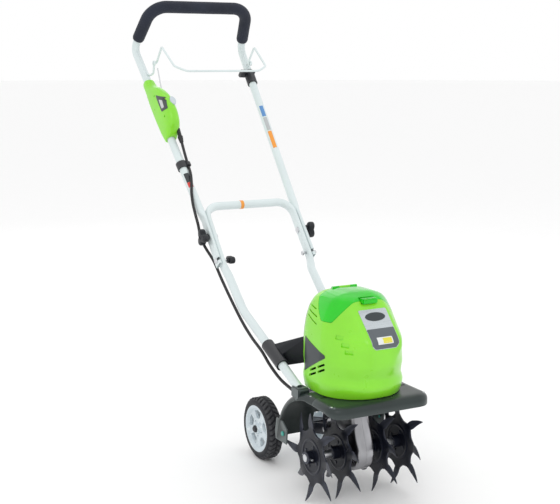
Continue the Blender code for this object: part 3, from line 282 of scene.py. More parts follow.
def block(low, high, bevel=0.0, segments=2):
    bm = bmesh.new()
    bmesh.ops.create_cube(bm, size=1)
    middle = (Vector(low) + Vector(high)) / 2
    size = Vector(high) - Vector(low)
    matrix = Matrix.Translation(middle) @ Matrix.Diagonal((*size, 1))
    bmesh.ops.transform(bm, matrix=matrix, verts=bm.verts[:])
    if bevel:
        bmesh.ops.bevel(bm, geom=bm.edges[:], offset=bevel, segments=segments, affect="EDGES")
    return bm


def prism(outline, x_from, x_to):
    return skin([[Vector((x, y, z)) for y, z in outline] for x in (x_from, x_to)])


def raw_object(name, bm):
    mesh = bpy.data.meshes.new(name)
    bm.to_mesh(mesh)
    bm.free()
    made = bpy.data.objects.new(name, mesh)
    bpy.context.scene.collection.objects.link(made)
    return made


def boolean(target, bm, operation="DIFFERENCE"):
    """Cuts or joins at once, and removes the cutter."""
    tool = raw_object("tool", bm)
    modifier = target.modifiers.new("boolean", "BOOLEAN")
    modifier.operation = operation
    modifier.object = tool
    bpy.context.view_layer.update()
    evaluated = target.evaluated_get(bpy.context.evaluated_depsgraph_get())
    mesh = bpy.data.meshes.new_from_object(evaluated)
    target.modifiers.clear()
    target.data = mesh
    bpy.data.objects.remove(tool)
    return target


def settle(made, material, body, replaces=(), angle=32, shift=True):
    """Moves a finished piece into the row frame, smooths and paints it, and lets it ride."""
    if shift:
        made.data.transform(Matrix.Translation((0, -CENTRE_Y, 0)))
    made.data.shade_smooth()
    made.data.set_sharp_from_angle(angle=math.radians(angle))
    made.data.materials.clear()
    made.data.materials.append(material)
    if body:
        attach(made, body)
    if replaces:
        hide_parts(*replaces)
    return made


def rounded_path(corners, step=6):
    """Points along a line of (point, radius) corners, each rounded by an arc in steps of about that angle."""
    points = []
    for index, (point, radius) in enumerate(corners):
        point = Vector(point)
        if not radius:
            points.append(point)
            continue
        into = (point - Vector(corners[index - 1][0])).normalized()
        out = (Vector(corners[index + 1][0]) - point).normalized()
        angle = into.angle(out)
        start = point - into * radius * math.tan(angle / 2)
        axis = into.cross(out).normalized()
        centre = start + axis.cross(into) * radius
        steps = max(3, round(math.degrees(angle) / step))
        for i in range(steps + 1):
            points.append(centre + Matrix.Rotation(angle * i / steps, 3, axis) @ (start - centre))
    return points


def carried_frames(path, first=(1, 0, 0)):
    tangents = []
    for i, point in enumerate(path):
        into = (point - path[i - 1]).normalized() if i else Vector()
        out = (path[i + 1] - point).normalized() if i < len(path) - 1 else Vector()
        tangents.append((into + out).normalized())
    side = Vector(first)
    frames = []
    for i, tangent in enumerate(tangents):
        if i:
            side = tangents[i - 1].rotation_difference(tangent) @ side
        side = (side - tangent * side.dot(tangent)).normalized()
        frames.append((path[i], tangent, side))
    return frames


def round_tube(path, radius, sides=24, first=(1, 0, 0)):
    rings = []
    for point, tangent, side in carried_frames(path, first):
        rings.append(circle(point, side, tangent.cross(side), radius, sides))
    return skin(rings)


def smooth_route(route, spacing):
    knots = [Vector(point) for point in route]
    knots = [knots[0] * 2 - knots[1], *knots, knots[-1] * 2 - knots[-2]]
    points = [knots[1]]
    for a, b, c, d in zip(knots, knots[1:], knots[2:], knots[3:]):
        steps = max(1, round((c - b).length / spacing))
        for i in range(1, steps + 1):
            t = i / steps
            bend = (2 * a - 5 * b + 4 * c - d) * t * t + (3 * b - a - 3 * c + d) * t**3
            points.append(b + ((c - a) * t + bend) / 2)
    return points


def both_sides(corners):
    right = [(mirrored(point, 1), radius) for point, radius in reversed(corners)]
    return [(mirrored(point, -1), radius) for point, radius in corners] + right


# ---- Camera, floor and light ----


def make_camera():
    data = bpy.data.cameras.new("camera")
    data.lens = 70.39
    data.sensor_width = 36
    camera = bpy.data.objects.new("camera", data)
    camera.location = world((-1.185, -1.884, 0.903))
    camera.rotation_euler = Euler((math.radians(80.26), 0, math.radians(-28.03)))
    bpy.context.scene.collection.objects.link(camera)
    bpy.context.scene.camera = camera


def make_floor():
    bm = bmesh.new()
    bmesh.ops.create_circle(bm, cap_ends=True, radius=60, segments=64)
    floor = raw_object("floor", bm)
    floor.data.materials.append(look("pale_floor", (0.95, 0.95, 0.95), 0.8, vary=0.005, grain=30, bump=0.01))


def make_light(name, place, size, power):
    data = bpy.data.lights.new(name, "AREA")
    data.size = size
    data.energy = power
    lamp = bpy.data.objects.new(name, data)
    lamp.location = place
    lamp.rotation_euler = (Vector((0, 0, 0.45)) - Vector(place)).to_track_quat("-Z", "Y").to_euler()
    bpy.context.scene.collection.objects.link(lamp)


def make_lights():
    make_light("key", (-2.2, -2.6, 2.8), 1.8, 18)
    make_light("fill", (2.6, -1.8, 1.8), 2.2, 4)
    make_light("top", (0.3, 0.6, 3.4), 2.4, 8)
    make_light("back", (0.5, 3.0, 2.0), 2.0, 5)
    sky = bpy.data.worlds.new("studio")
    sky.use_nodes = True
    sky.node_tree.nodes["Background"].inputs["Color"].default_value = (1, 1, 1, 1)
    sky.node_tree.nodes["Background"].inputs["Strength"].default_value = 1.0
    bpy.context.scene.world = sky
    bpy.context.scene.view_settings.view_transform = "Standard"


# ---- Cable and grip ----


def make_cable():
    path = [world(point) for point in smooth_route(CABLE_ROUTE, 0.008)]
    cable = raw_object("cable_tube", round_tube(path, CABLE_RADIUS, 16))
    settle(cable, LOOKS["cable_rubber"], None, ["power_cable"], shift=False)
    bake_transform(cable)


def make_grip():
    path = fine_path(both_sides([(GRIP_FOOT, 0), (GRIP_CORNER, GRIP_BEND)]), 0.006, 4)
    reach = [0.0]
    for a, b in zip(path, path[1:]):
        reach.append(reach[-1] + (b - a).length)
    rings, inner = [], []
    end_rounding = 0.004
    for (point, tangent, side), run in zip(carried_frames(path), reach):
        near = min(run, reach[-1] - run)
        swell = 1 - 0.12 * max(0, 1 - near / end_rounding) ** 2
        radius = FOAM_RADIUS * swell * (1 - 0.004 * math.sin(run * 95))
        other = tangent.cross(side)
        rings.append(circle(point, side, other, radius, 32))
        inner.append(circle(point, side, other, TUBE_RADIUS + GAP, 32))
    grip = raw_object("grip_foam_sleeve", skin(rings + inner[::-1], wrap=True))
    settle(grip, LOOKS["grip_foam"], "upper_handle", ["foam_grip"], angle=50)


# ---- Body ----

COVER_SECTIONS = (
    # height, half width, front reach, back reach, front roundness, half width of the front panel
    (0.2335, 0.0925, 0.0860, 0.0960, 2.0, 0.000),
    (0.2540, 0.0960, 0.0962, 0.0985, 2.0, 0.000),
    (0.2640, 0.0955, 0.0950, 0.0990, 2.0, 0.000),
    (0.2715, 0.0920, 0.0902, 0.1000, 2.0, 0.000),
    (0.3000, 0.0925, 0.1030, 0.1045, 1.9, 0.016),
    (0.3380, 0.0905, 0.1095, 0.1080, 1.5, 0.036),
    (0.3560, 0.0885, 0.1080, 0.1080, 1.4, 0.038),
    (0.3800, 0.0845, 0.0850, 0.1060, 1.3, 0.038),
    (0.4020, 0.0780, 0.0640, 0.1020, 1.3, 0.037),
    (0.4190, 0.0690, 0.0470, 0.0950, 1.3, 0.035),
    (0.4300, 0.0590, 0.0370, 0.0850, 1.4, 0.031),
    (0.4370, 0.0450, 0.0260, 0.0690, 1.6, 0.023),
    (0.4410, 0.0260, 0.0130, 0.0460, 2.0, 0.010),
)
COVER_WALL = 0.0045
COVER_SPLIT_Y = 0.079
COVER_SIDES = 112
PLATE_GRID = 0.004
LATCH_ROOM = ((-0.0186, -0.0600, 0.4219), (0.0186, -0.0305, 0.4336))


def cover_section(height):
    """The section at a height, read from straight runs that are eased at the given heights."""
    for a, b in zip(COVER_SECTIONS, COVER_SECTIONS[1:]):
        if height <= b[0] + 1e-9:
            t = (height - a[0]) / (b[0] - a[0])
            return tuple(p + (q - p) * t for p, q in zip(a, b))
    return COVER_SECTIONS[-1]


def eased_section(height, span=0.0042):
    """The mean of the sections just below and above, which rounds the steps between them."""
    low, high = COVER_SECTIONS[0][0], COVER_SECTIONS[-1][0]
    near = min(span, height - low, high - height)
    rows = [cover_section(height + near * k / 3) for k in range(-3, 4)]
    return tuple(sum(values) / len(rows) for values in zip(*rows))


def cover_rings(shrink):
    low, high = COVER_SECTIONS[0][0], COVER_SECTIONS[-1][0]
    rings = []
    count = 64
    for k in range(count + 1):
        share = math.sin(math.pi / 2 * k / count) ** 0.9
        height, half, front, back, roundness, panel = eased_section(low + (high - low) * share)
        point = (1 - (panel / half) ** roundness) ** (-1 / roundness)
        ring = []
        for i in range(COVER_SIDES):
            a = math.tau * i / COVER_SIDES
            power = 2 / (roundness if math.sin(a) < 0 else 4.0)
            x = math.copysign(abs(math.cos(a)) ** power, math.cos(a)) * (half - shrink)
            reach = (front * point if math.sin(a) < 0 else back) - shrink
            y = math.copysign(abs(math.sin(a)) ** power, math.sin(a)) * reach
            # The panel's edges are eased into the flanks.
            limit = shrink - front
            if y < limit + 0.004:
                over = (limit + 0.004 - y) / 0.004
                y = limit + 0.004 - 0.004 * (1 - math.exp(-over))
            z = height - (shrink * height / high if height > 0.40 else 0)
            ring.append(Vector((x, y, z)))
        rings.append(ring)
    rings.append([Vector((0, 0.014, high + 0.0010 - shrink))])
    return rings


def cover_shell():
    return skin(cover_rings(0) + cover_rings(COVER_WALL)[::-1], wrap=True)


def arc(centre, radius, first, last, steps):
    angles = [math.radians(first + (last - first) * i / steps) for i in range(steps + 1)]
    return [(centre[0] + radius * math.cos(a), centre[1] + radius * math.sin(a)) for a in angles]


def lid_outline(grow):
    outline = [(LID_HINGE.y + grow, 0.470)]
    outline += arc((LID_HINGE.y, LID_HINGE.z), 0.0925 + grow, 161, 215, 24)
    foot = outline[-1]
    outline += [(foot[0] + 0.003, 0.3850 - grow), (0.0060 + grow, 0.3850 - grow)]
    outline += [(0.0110 + grow, 0.3875 - grow), (0.0460 + grow, 0.4215 - grow)]
    outline.append((LID_HINGE.y + grow, 0.4260 - grow))
    return outline


def tilted_block(size, place, turn_x=0.0, turn_y=0.0, turn_z=0.0, bevel=0.0):
    half = Vector(size) / 2
    bm = block(-half, half, bevel, 3)
    turn = Euler([math.radians(a) for a in (turn_x, turn_y, turn_z)]).to_matrix().to_4x4()
    bmesh.ops.transform(bm, matrix=Matrix.Translation(place) @ turn, verts=bm.verts[:])
    return bm


def vent_cutters():
    """Slots through the body's flanks."""
    cutters = []
    for side in (-1, 1):
        for k, (y, long, turn) in enumerate(((0.0545, 0.038, 7), (0.0470, 0.044, 11), (0.0440, 0.048, 16))):
            place = (0.084 * side, y, 0.4050 - 0.0122 * k)
            cutters.append(tilted_block((0.03, long, 0.0026), place, turn, 0, 0, 0.0009))
        for row in range(2):
            for column in range(2):
                place = (0.093 * side, 0.0235 - 0.0315 * column, 0.2800 + 0.0138 * column - 0.0105 * row)
                cutters.append(tilted_block((0.03, 0.0275, 0.0046), place, -24, 0, 0, 0.0009))
    return cutters


def scoop_cutters(cover):
    """Shallow air scoops on the shoulders, each deeper at its upper corner."""
    tree = surface_tree(cover)
    cutters = []
    for side in (-1, 1):
        for x, y, z in ((0.0690, -0.0460, 0.3600), (0.0640, -0.0600, 0.3460), (0.0605, -0.0680, 0.3330)):
            radial = Vector((x * side, y, 0)).normalized()
            spot, normal, _, _ = tree.ray_cast(Vector((x * side, y, z)) + radial * 0.05, -radial)
            if normal.dot(radial) < 0:
                normal = -normal
            level = normal.cross(Vector((0, 0, 1))).normalized()
            turn = Matrix((level, normal.cross(level), normal)).transposed()
            lean = Matrix.Rotation(math.radians(-14), 3, "X")
            bm = block((-0.0096, -0.0046, -0.0022), (0.0096, 0.0046, 0.0090), 0.0009, 2)
            matrix = Matrix.Translation(spot) @ (turn @ lean).to_4x4()
            bmesh.ops.transform(bm, matrix=matrix, verts=bm.verts[:])
            cutters.append(bm)
    return cutters


def knuckle(low, high, radius):
    return rod(LID_HINGE + Vector((low, 0, 0)), LID_HINGE + Vector((high, 0, 0)), radius, 20)


def make_hinge(target, rooms, eyes):
    """Room for the other leaf's eyes, then this leaf's own eyes and the pin's bore."""
    for low, high in rooms:
        boolean(target, knuckle(low, high, 0.0038))
    for low, high in eyes:
        boolean(target, knuckle(low, high, 0.0031), "UNION")
    boolean(target, knuckle(-0.04, 0.04, 0.0019))


def make_body():
    cover = raw_object("body_front", cover_shell())
    boolean(cover, prism(lid_outline(GAP), -0.12, 0.12))
    boolean(cover, block((-0.2, COVER_SPLIT_Y - GAP, 0.1), (0.2, 0.3, 0.6)))
    for cutter in vent_cutters() + scoop_cutters(cover):
        boolean(cover, cutter)
    boolean(cover, block(*LATCH_ROOM))
    make_hinge(cover, ((-0.0306, -0.0134), (0.0134, 0.0306)), ((-0.0135, 0.0135),))
    settle(cover, LOOKS["green_plastic"], "chassis", ["front_cover"], angle=40)
    rear = raw_object("body_rear", cover_shell())
    boolean(rear, block((-0.2, -0.3, 0.1), (0.2, COVER_SPLIT_Y + GAP, 0.6)))
    for k in range(9):
        boolean(rear, tilted_block((0.060, 0.03, 0.0028), (0, 0.108, 0.285 + 0.0075 * k), 0, 0, 0, 0.0010))
    settle(rear, LOOKS["black_plastic"], "chassis", ["rear_cover"], angle=40)
    lid = raw_object("lid_shell", cover_shell())
    boolean(lid, prism(lid_outline(-GAP), -0.12, 0.12), "INTERSECT")
    boolean(lid, block(*LATCH_ROOM))
    make_hinge(lid, ((-0.0141, 0.0141),), ((-0.030, -0.014), (0.014, 0.030)))
    settle(lid, LOOKS["lid_plastic"], "battery_lid", ["battery_lid"], angle=40)
    make_latch()
    return cover


def make_latch():
    grip = block((-0.018, -0.050, 0.4225), (0.018, -0.034, 0.4330), 0.0020, 4)
    latch = raw_object("latch_grip", grip)
    for k in range(4):
        place = (0, -0.0470 + 0.0024 * k, 0.4335)
        boolean(latch, tilted_block((0.030, 0.0010, 0.003), place, 0, 0, 0, 0.0003))
    settle(latch, LOOKS["lid_plastic"], "lid_latch", ["lid_latch"])


def surface_tree(obj):
    mesh = obj.data
    return BVHTree.FromPolygons([v.co for v in mesh.vertices], [list(p.vertices) for p in mesh.polygons])


def rounded_outline(corners, radius, steps=5):
    """A flat outline of (u, v) corners, each rounded."""
    points = []
    count = len(corners)
    for i, (u, v) in enumerate(corners):
        here = Vector((u, v))
        into = (here - Vector(corners[i - 1])).normalized()
        out = (Vector(corners[(i + 1) % count]) - here).normalized()
        start, end = here - into * radius, here + out * radius
        for k in range(steps + 1):
            t = k / steps
            points.append(start * (1 - t) ** 2 + here * 2 * t * (1 - t) + end * t * t)
    return points


def mirrored_outline(right, radius):
    """A rounded outline from its right-hand corners, top to bottom."""
    left = [(-u, v) for u, v in reversed(right)]
    return rounded_outline([left[-1], *right, *left[:-1]], radius)


def plate(name, tree, outline, origin, toward, material, lift=0.0002, thick=0.0005, body="chassis"):
    """A thin plate with that (u, v) outline, laid on a surface by casting along toward.

    origin is where u and v are 0; u runs across and v runs up.
    """
    toward = Vector(toward).normalized()
    u_axis = toward.cross(Vector((0, 0, 1))).normalized()
    v_axis = u_axis.cross(toward).normalized()
    bm = bmesh.new()
    bm.faces.new([bm.verts.new((p[0], p[1], 0)) for p in outline])
    for axis in (0, 1):
        low = min(p[axis] for p in outline)
        high = max(p[axis] for p in outline)
        for k in range(1, int((high - low) / PLATE_GRID) + 1):
            place = [0, 0, 0]
            normal = [0, 0, 0]
            place[axis] = low + k * PLATE_GRID
            normal[axis] = 1
            geom = bm.verts[:] + bm.edges[:] + bm.faces[:]
            bmesh.ops.bisect_plane(bm, geom=geom, plane_co=place, plane_no=normal)
    lower, upper = {}, {}
    made = bmesh.new()
    for vert in bm.verts:
        start = world(origin) + u_axis * vert.co.x + v_axis * vert.co.y - toward * 0.3
        spot, normal, _, _ = tree.ray_cast(start, toward)
        if spot is None:
            spot, normal = start + toward * 0.3, -toward
        if normal.dot(toward) > 0:
            normal = -normal
        lower[vert] = made.verts.new(spot + normal * lift)
        upper[vert] = made.verts.new(spot + normal * (lift + thick))
    for face in bm.faces:
        made.faces.new([upper[v] for v in face.verts])
        made.faces.new([lower[v] for v in reversed(face.verts)])
    for edge in bm.edges:
        if edge.is_boundary:
            a, b = edge.verts
            made.faces.new([lower[a], lower[b], upper[b], upper[a]])
    bm.free()
    bmesh.ops.recalc_face_normals(made, faces=made.faces[:])
    obj = raw_object(name, made)
    return settle(obj, material, body, angle=50, shift=False)


def make_graphics(cover):
    """Plain panels where the real machine has its labels: no letters, and no marks."""
    tree = surface_tree(cover)
    silver = look("panel_silver", (0.50, 0.54, 0.57), 0.28, 0.5,
                  vary=0.10, grain=2600, bump=0.06, stretch=(1, 1, 6))
    dark = look("panel_dark", (0.030, 0.040, 0.045), 0.30, 0.1, vary=0.12, grain=2400, bump=0.06)
    pale = look("panel_pale", (0.72, 0.74, 0.74), 0.35, vary=0.04)
    yellow = look("panel_yellow", (0.72, 0.66, 0.05), 0.35, vary=0.05)
    shade = look("panel_grey", (0.10, 0.115, 0.13), 0.30, 0.1, vary=0.10, grain=2600, bump=0.06)
    front = (0, 1, 0)
    panel = mirrored_outline([(0.0330, 0.0350), (0.0320, -0.0270), (0.0250, -0.0350)], 0.0035)
    plate("label_panel", tree, panel, (0, 0, 0.3770), front, silver)
    lower = mirrored_outline([(0.0318, 0.0020), (0.0310, -0.0260), (0.0242, -0.0338)], 0.0025)
    plate("label_panel_lower", tree, lower, (0, 0, 0.3770), front, shade, lift=0.0008, thick=0.0002)
    angles = [math.tau * i / 40 for i in range(40)]
    oval = [Vector((0.0235 * math.cos(a), 0.0072 * math.sin(a))) for a in angles]
    plate("label_oval", tree, oval, (0, 0, 0.3990), front, dark, lift=0.0009, thick=0.0004)
    card = mirrored_outline([(0.0180, 0.0062), (0.0180, -0.0062)], 0.0012)
    plate("label_card", tree, card, (0, 0, 0.3580), front, pale, lift=0.0012, thick=0.0003)
    corners = [(-0.0050, 0.0045), (0.0155, 0.0045), (0.0155, -0.0045), (-0.0050, -0.0045)]
    stripe = rounded_outline(corners, 0.0008)
    plate("label_card_block", tree, stripe, (0, 0, 0.3580), front, yellow, lift=0.0016, thick=0.0002)
    for side, name in ((-1, "left"), (1, "right")):
        corners = [(0.0255, 0.0400), (-0.0570, 0.0160), (-0.0590, 0.0105), (0.0255, -0.0355)]
        corners = [(u * side, v) for u, v in corners]
        outline = rounded_outline(corners if side > 0 else corners[::-1], 0.002)
        plate(f"side_panel_{name}", tree, outline, (0, 0.0380, 0.3020), (-side, 0, 0), dark)


# ---- Wheels ----


def tread_lug(face, inward, angle, half, near, far, skew):
    """One block of the tread, swept by skew degrees from its near edge to its far one."""
    rings = []
    for radius, shrink in ((0.0660, 0.0), (0.0712, 0.0), (0.0720, 0.0008)):
        ring = []
        for d, turn, s in ((near, -1, 1), (near, 1, 1), (far, 1, -1), (far, -1, -1)):
            lean = math.radians(skew) * (1 if d == near else -1)
            b = angle + turn * (half - shrink / radius) + lean
            edge = 0.0035 if (d < 0.003 or d > 0.035) and radius > 0.068 else 0.0
            depth = d + (shrink + edge) * s
            ring.append(face + inward * depth + Vector((0, math.cos(b), math.sin(b))) * radius)
        rings.append(ring)
    return skin(rings)


def add_part(bm, part):
    mesh = bpy.data.meshes.new("part")
    part.to_mesh(mesh)
    part.free()
    bm.from_mesh(mesh)
    bpy.data.meshes.remove(mesh)


def make_wheel(name, side):
    face = AXLE + Vector((0.0949 * side, 0, 0))
    inward = Vector((-side, 0, 0))
    wide, top = 0.038, 0.0700
    section = [(0.0010, 0.0544), (0.0004, 0.0600), (0.0010, 0.0640)]
    section += [(0.0030, 0.0672), (0.0065, 0.0690), (0.012, top)]
    profile = section + [(wide - d, r) for d, r in reversed(section)]
    tyre = raw_object(f"tyre_tread_{name}", turned(profile, face, inward, 96, wrap=True))
    bm = bmesh.new()
    bm.from_mesh(tyre.data)
    lugs = 34
    half = math.tau / lugs * 0.30
    for i in range(lugs):
        for row, (near, far, skew) in enumerate(((0.0020, 0.0165, 3.2), (0.0215, 0.0360, -3.2))):
            angle = math.tau * (i + 0.5 * row) / lugs
            add_part(bm, tread_lug(face, inward, angle, half, near, far, skew))
    bm.to_mesh(tyre.data)
    bm.free()
    settle(tyre, LOOKS["tyre"], f"wheel_{name}", [f"tyre_{name}"], angle=30)
    make_rim(name, face, inward)


# Half of a window between two spokes: (radius, angle from its middle)
RIM_WINDOW = ((0.0250, 0.26), (0.0280, 0.33), (0.0390, 0.37), (0.0425, 0.33))
RIM_SPOKES = 5
RIM_TURN = 0.3


def add_bevel(made, width, degrees):
    bevel = made.modifiers.new("bevel", "BEVEL")
    bevel.width = width
    bevel.segments = 2
    bevel.limit_method = "ANGLE"
    bevel.angle_limit = math.radians(degrees)
    return bevel


def make_rim(name, face, inward):
    seat = 0.0541
    profile = [(0.0000, 0.0), (0.0000, 0.0105), (0.0012, 0.0118), (0.0050, 0.0125), (0.0064, 0.0300)]
    profile += [(0.0056, 0.0440), (0.0016, 0.0480), (0.0010, 0.0510), (0.0010, seat), (0.0370, seat)]
    profile += [(0.0370, 0.0490), (0.0160, 0.0470), (0.0120, 0.0440), (0.0110, 0.0150), (0.0375, 0.0120)]
    profile.append((0.0375, 0.0))
    rim = raw_object(f"rim_disc_{name}", turned(profile, face, inward, 80))
    u, v = Vector((0, 1, 0)), Vector((0, 0, 1))
    for k in range(RIM_SPOKES):
        a = math.tau * k / RIM_SPOKES + RIM_TURN
        outline = [(radius, a - spread) for radius, spread in RIM_WINDOW]
        outline.append((0.0430, a))
        outline += [(radius, a + spread) for radius, spread in reversed(RIM_WINDOW)]
        rings = []
        for depth in (-0.004, 0.020):
            middle = face + inward * depth
            rings.append([middle + (u * math.cos(b) + v * math.sin(b)) * r for r, b in outline])
        boolean(rim, skin(rings))
    for k in range(RIM_SPOKES):
        a = math.tau * (k + 0.5) / RIM_SPOKES + RIM_TURN
        centre = face + (u * math.cos(a) + v * math.sin(a)) * 0.0178
        boolean(rim, rod(centre - inward * 0.002, centre + inward * 0.020, 0.0026, 16))
    boolean(rim, rod(face - inward * 0.01, face + inward * 0.06, 0.0043, 24))
    add_bevel(rim, 0.0007, 40)
    settle(rim, LOOKS["rim_plastic"], f"wheel_{name}", [f"rim_{name}"], angle=38)


# ---- Handle ----


def upper_leg_point(z, side=-1):
    share = (z - UPPER_LEG_FOOT.z) / (KNEE.z - UPPER_LEG_FOOT.z)
    return mirrored(UPPER_LEG_FOOT.lerp(KNEE, share), side)


def leg_run():
    return (KNEE - UPPER_LEG_FOOT).normalized()


def bolt_place(distance, x):
    place = FOLD_PIVOT - LEG_RUN * distance
    return Vector((x, place.y, place.z))


def pressed_tube(path, half_at, radius=TUBE_RADIUS, wall=0.0015, sides=40):
    """A tube whose section is squeezed to the half thickness half_at gives for each point."""
    outer, inner = [], []
    for point, tangent, side in carried_frames(path):
        half = half_at(point)
        depth = tangent.cross(side)
        flat = (math.pi * (radius - half)) / 2
        for store, shrink in ((outer, 0.0), (inner, wall)):
            ring = []
            for i in range(sides):
                c, s = math.cos(math.tau * i / sides), math.sin(math.tau * i / sides)
                spread = flat * max(-1, min(1, c * 6))
                ring.append(point + depth * (spread + (half - shrink) * c) + side * (half - shrink) * s)
            store.append(ring)
    return skin(outer + inner[::-1], wrap=True)


def eased(value):
    value = min(max(value, 0), 1)
    return value * value * (3 - 2 * value)


def fine_path(corners, spacing=0.004, step=5):
    path = rounded_path(corners, step)
    dense = [path[0]]
    for a, b in zip(path, path[1:]):
        steps = max(1, round((b - a).length / spacing))
        dense += [a.lerp(b, i / steps) for i in range(1, steps + 1)]
    return dense


def make_upper_tube():
    foot = bolt_place(0.078, -0.1263)
    flat_top = bolt_place(-0.052, -0.1263)
    corners = [(foot, 0), (flat_top, 0), (UPPER_LEG_FOOT, 0), (KNEE, 0.027), (GRIP_FOOT, 0)]
    corners.append((GRIP_CORNER, GRIP_BEND))
    path = fine_path(both_sides(corners), 0.006)

    def half_at(point):
        up = (point - FOLD_PIVOT).dot(LEG_RUN)
        return 0.004 + (TUBE_RADIUS - 0.004) * eased((up - 0.049) / 0.022)

    tube = raw_object("handle_upper_tube", pressed_tube(path, half_at))
    for name, side in SIDES.items():
        middle = Vector((0.1263 * side, FOLD_PIVOT.y, FOLD_PIVOT.z))
        boolean(tube, pin(middle, (0.02, 0, 0), BOLT_BORE))
        hook = [(mirrored(point, side), bend) for point, bend in zip(HOOKS[name], (0, 0.008, 0.008, 0))]
        boolean(tube, round_tube(fine_path(hook, 0.004, 8), 0.0026, 16), "UNION")
        eye = BAIL_PIVOT + Vector((0.1370 * side, 0, 0))
        half = Vector((0.0025, 0, 0))
        profile = [(0, 0.0060), (0.0006, 0.0066), (0.0044, 0.0066), (0.005, 0.0060)]
        boolean(tube, turned(profile, eye - half, (1, 0, 0), 32), "UNION")
        boolean(tube, pin(eye, 3 * half, 0.0034))
        stop = bolt_place(0.066, 0.1263 * side)
        forward = LEG_RUN.cross(Vector((1, 0, 0)))
        notch = block((-0.02, -0.0038, -0.0038), (0.02, 0.0038, 0.03), 0.0008)
        boolean(tube, along_leg(notch, stop, -forward if forward.y > 0 else forward))
    settle(tube, LOOKS["white_steel"], "upper_handle", ["upper_handle"], angle=40)


HOOKS = {
    "left": (
        (-0.1500, 0.8000, 0.8860), (-0.1450, 0.7800, 0.8740),
        (-0.1380, 0.7710, 0.8790), (-0.1370, 0.7685, 0.9000),
    ),
    "right": (
        (0.1515, 0.8190, 0.9060), (0.1480, 0.7980, 0.8990),
        (0.1400, 0.7830, 0.8990), (0.1370, 0.7720, 0.9040),
    ),
}


def make_lower_tube():
    corners = [
        (LOWER_LEG_FOOT, 0), (LOWER_LEG_BEND, 0.10), (bolt_place(0.111, -0.1105), 0),
        (bolt_place(0.079, -0.1165), 0), (bolt_place(-0.045, -0.1165), 0),
        (bolt_place(-0.0849, -0.1150), 0.036),
    ]
    path = fine_path(both_sides(corners), 0.006)

    def half_at(point):
        up = (point - FOLD_PIVOT).dot(LEG_RUN)
        return 0.0055 + 0.0045 * min(max((up - 0.057) / 0.025, (-up - 0.079) / 0.020, 0), 1)

    tube = raw_object("handle_lower_tube", pressed_tube(path, half_at))
    for side in SIDES.values():
        for distance in (0, 0.066):
            boolean(tube, pin(bolt_place(distance, 0.1165 * side), (0.03, 0, 0), BOLT_BORE))
    settle(tube, LOOKS["white_steel"], "chassis", ["lower_handle"], angle=40)


def make_bail_rod():
    arm = 0.1303
    corners = [
        ((-0.1405, BAIL_PIVOT.y, BAIL_PIVOT.z), 0), ((-arm, BAIL_PIVOT.y, BAIL_PIVOT.z), 0.005),
        ((-arm, 0.7310, 0.9460), 0.007), ((-0.1270, 0.6590, 0.8980), 0.012),
        ((-0.1000, 0.6440, 0.8860), 0.020),
    ]
    path = fine_path(both_sides(corners), 0.006, 8)
    bail = raw_object("bail_rod", round_tube(path, 0.0028, 20, (0, 0, 1)))
    settle(bail, LOOKS["white_steel"], "bail", ["bail"], angle=50)


def band(name, place_from, place_to, radius, material, body, thick=0.0004, sides=40):
    """A thin sticker wrapped round a tube."""
    axis = Vector(place_to) - Vector(place_from)
    long = axis.length
    profile = [(0, radius), (0.0002, radius + thick), (long - 0.0002, radius + thick), (long, radius)]
    bm = turned(profile, place_from, axis, sides, wrap=True)
    obj = raw_object(name, bm)
    return settle(obj, material, body, angle=60)


def half_band(name, low, high, out, radius, spread, material, body, thick=0.0004):
    """A sticker that covers part of a tube's round, spread degrees each way from out."""
    low, high = Vector(low), Vector(high)
    axis = (high - low).normalized()
    out = Vector(out) - axis * Vector(out).dot(axis)
    out.normalize()
    side = axis.cross(out)
    rings = []
    steps = 14
    for i in range(steps + 1):
        a = math.radians(spread * (2 * i / steps - 1))
        ray = out * math.cos(a) + side * math.sin(a)
        near, far = ray * radius, ray * (radius + thick)
        rings.append([low + near, high + near, high + far, low + far])
    obj = raw_object(name, skin(rings))
    return settle(obj, material, body, angle=60)


def make_stickers():
    orange = look("sticker_orange", (0.85, 0.32, 0.04), 0.4, vary=0.05, bump=0.03)
    red = look("sticker_red", (0.70, 0.05, 0.04), 0.4, vary=0.05, bump=0.03)
    blue = look("sticker_blue", (0.10, 0.26, 0.55), 0.4, vary=0.05, bump=0.03)
    dark = look("sticker_dark", (0.035, 0.04, 0.045), 0.4, vary=0.1, bump=0.03)
    grey = look("sticker_grey", (0.45, 0.47, 0.48), 0.4, vary=0.05, bump=0.03)
    radius = TUBE_RADIUS + 0.0002
    cross = FOLD_PIVOT + LEG_RUN * 0.0849
    band("crossbar_band", (-0.0216, cross.y, cross.z), (-0.0130, cross.y, cross.z), radius, orange, "chassis")
    front = Vector((-0.35, -0.85, 0.3))
    rows = [("leg_mark_blue", 0.7880, 0.7620, blue), ("leg_mark_grey", 0.7590, 0.7280, grey)]
    rows.append(("leg_mark_orange", 0.7250, 0.6850, orange))
    for name, top, bottom, paint in rows:
        low, high = upper_leg_point(bottom, 1), upper_leg_point(top, 1)
        half_band(name, low, high, front, radius, 28, paint, "upper_handle")
    rows = [("left_mark_dark", 0.6345, 0.6150, dark), ("left_mark_red", 0.6145, 0.6040, red)]
    for name, top, bottom, paint in rows:
        low, high = upper_leg_point(bottom, -1), upper_leg_point(top, -1)
        half_band(name, low, high, Vector((-0.25, -0.9, 0.3)), radius, 36, paint, "upper_handle")


# ---- Knobs, clips and bolts ----


